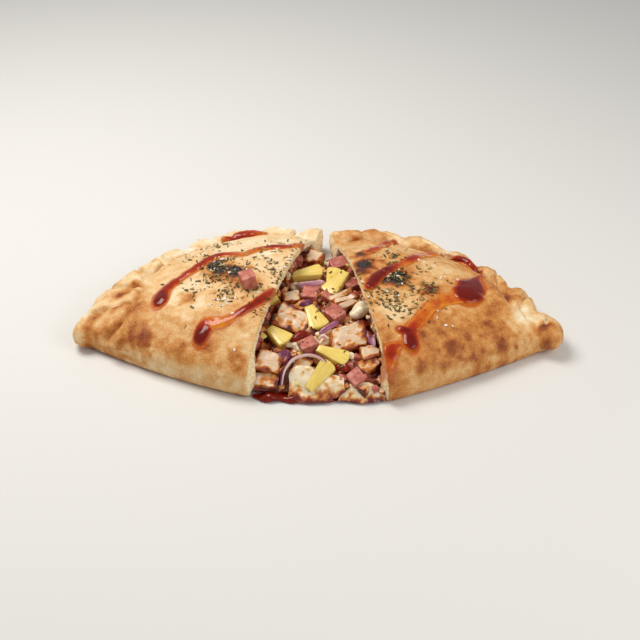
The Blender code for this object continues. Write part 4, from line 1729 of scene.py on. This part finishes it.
def build_roof_ham(ground: BVHTree, ham: Ham) -> None:
    """Lays the one dice of ham on the left half's roof."""
    low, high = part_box("ham_dice")
    middle = (low + high) / (2.0 * MM)
    place, normal = drop(ground, middle.x, middle.y)
    lump = Lump(0.0, 0.0, 0.0, (7.9, 7.9, 7.9), sunk=0.0)
    item = ham.shape(lump)
    turned = UP.rotation_difference(normal) @ Quaternion(UP, math.radians(24.0))
    points = [tuple(place + normal * 3.8 + turned @ Vector(point)) for point in points_of(item)]
    move_points(item, np.array(points))
    item.name = "ham_on_roof"
    shade(item)
    finish_piece(item, ham.material(), "ham", "ham_dice")


# --------------------------------------------------------------------------------------------------
# Studio


@dataclass(frozen=True)
class Studio:
    """A pale floor under soft light, and the camera."""

    floor_colour: str = "#DFDCD6"
    camera_place: tuple[float, float, float] = (1.4, -452.56, 343.6)
    camera_tilt: float = 52.5
    lens: float = 54.0
    sensor: float = 36.0
    sky: float = 0.39

    def build_floor(self) -> None:
        """Lays the floor."""
        floor = new_primitive("floor", bpy.ops.mesh.primitive_plane_add, size=30.0)
        graph = Graph("pale floor", {"Roughness": 0.75})
        graph.shader.inputs["Base Color"].default_value = linear(self.floor_colour)
        floor.data.materials.append(graph.material)

    def build_light(self) -> None:
        """Sets an even sky, a wide key light from the upper left, and a weak one from the right."""
        world = bpy.data.worlds.new("sky")
        bpy.context.scene.world = world
        world.use_nodes = True
        world.node_tree.nodes["Background"].inputs["Color"].default_value = (0.93, 0.96, 1.0, 1.0)
        world.node_tree.nodes["Background"].inputs["Strength"].default_value = self.sky
        self.lamp("key", (-300.0, 160.0, 660.0), 4.3, 380.0)
        self.lamp("fill", (460.0, -330.0, 420.0), 1.7, 450.0)

    def lamp(self, name: str, place: tuple[float, float, float], power: float, size: float) -> None:
        """Adds a square area lamp that looks at the food."""
        bpy.ops.object.select_all(action="DESELECT")
        where = Vector(place) * MM
        turn = (-where).to_track_quat("-Z", "Y").to_euler()
        bpy.ops.object.light_add(type="AREA", location=where, rotation=turn)
        light = bpy.context.active_object
        light.name = name
        light.data.energy = power
        light.data.size = size * MM
        light.data.color = (1.0, 0.975, 0.94)

    def build_camera(self) -> None:
        """Places the camera and makes it the scene's."""
        bpy.ops.object.camera_add(
            location=Vector(self.camera_place) * MM, rotation=(math.radians(self.camera_tilt), 0.0, 0.0)
        )
        camera = bpy.context.active_object
        camera.data.lens = self.lens
        camera.data.sensor_width = self.sensor
        bpy.context.scene.camera = camera


def build_half(crust: Crust, dough: bpy.types.Material, sauce: bpy.types.Material) -> BVHTree:
    """Makes one half's dough with the sauce on it, and returns the dough's surface."""
    item = crust.build(dough)
    ground = surface_of(item)
    strips = [drizzle.build(crust.half, ground) for drizzle in crust.sauces]
    poured = join(f"sauce_on_{crust.half.name}", strips)
    finish_piece(poured, sauce, "barbecue_sauce")
    return ground


def main() -> None:
    """Builds the whole scene."""
    logging.basicConfig(level=logging.INFO, format="%(name)s: %(message)s")
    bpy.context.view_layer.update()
    scene = bpy.context.scene
    scene.view_settings.view_transform = "Standard"
    voxel = 0.85

    dough = BakedDough().build()
    sauce = BarbecueSauce().build()
    left = Crust(LEFT, LEFT_TOASTS, LEFT_CHARS, LEFT_FILMS, LEFT_DRIZZLES, tan=0.29, seed=11, fine=voxel)
    right = Crust(RIGHT, RIGHT_TOASTS, RIGHT_CHARS, RIGHT_FILMS, RIGHT_DRIZZLES, tan=0.475, seed=29, fine=voxel)
    grounds = [build_half(crust, dough, sauce) for crust in (left, right)]
    build_roof_ham(grounds[0], Ham())
    bed = SauceBed(LEFT, RIGHT).build(SaucedScraps().build())
    heap = Filling(LEFT, RIGHT, surface_of(bed)).build(sauce)

    herbs = sprinkle(LEFT, grounds[:1], LEFT_HERBS, 41, 3.1, 1.1, 0.32)
    herbs += sprinkle(RIGHT, grounds[1:], RIGHT_HERBS, 43, 3.1, 1.1, 0.32)
    herbs += sprinkle(LEFT, heap, HEAP_HERBS, 59, 2.0, 1.0, 0.4)
    finish_piece(strewn("dried_herbs", herbs, 0.28, 0.3), DriedHerbs().material(), "dried_herbs")
    salt = sprinkle(LEFT, grounds[:1], LEFT_SALT, 47, 2.0, 0.6, 0.55)
    salt += sprinkle(RIGHT, grounds[1:], RIGHT_SALT, 53, 2.0, 0.6, 0.55)
    finish_piece(strewn("salt", salt, 0.55, 0.05), CoarseSalt().material(), "salt")

    studio = Studio()
    studio.build_floor()
    studio.build_light()
    studio.build_camera()


if __name__ == "__main__":
    main()
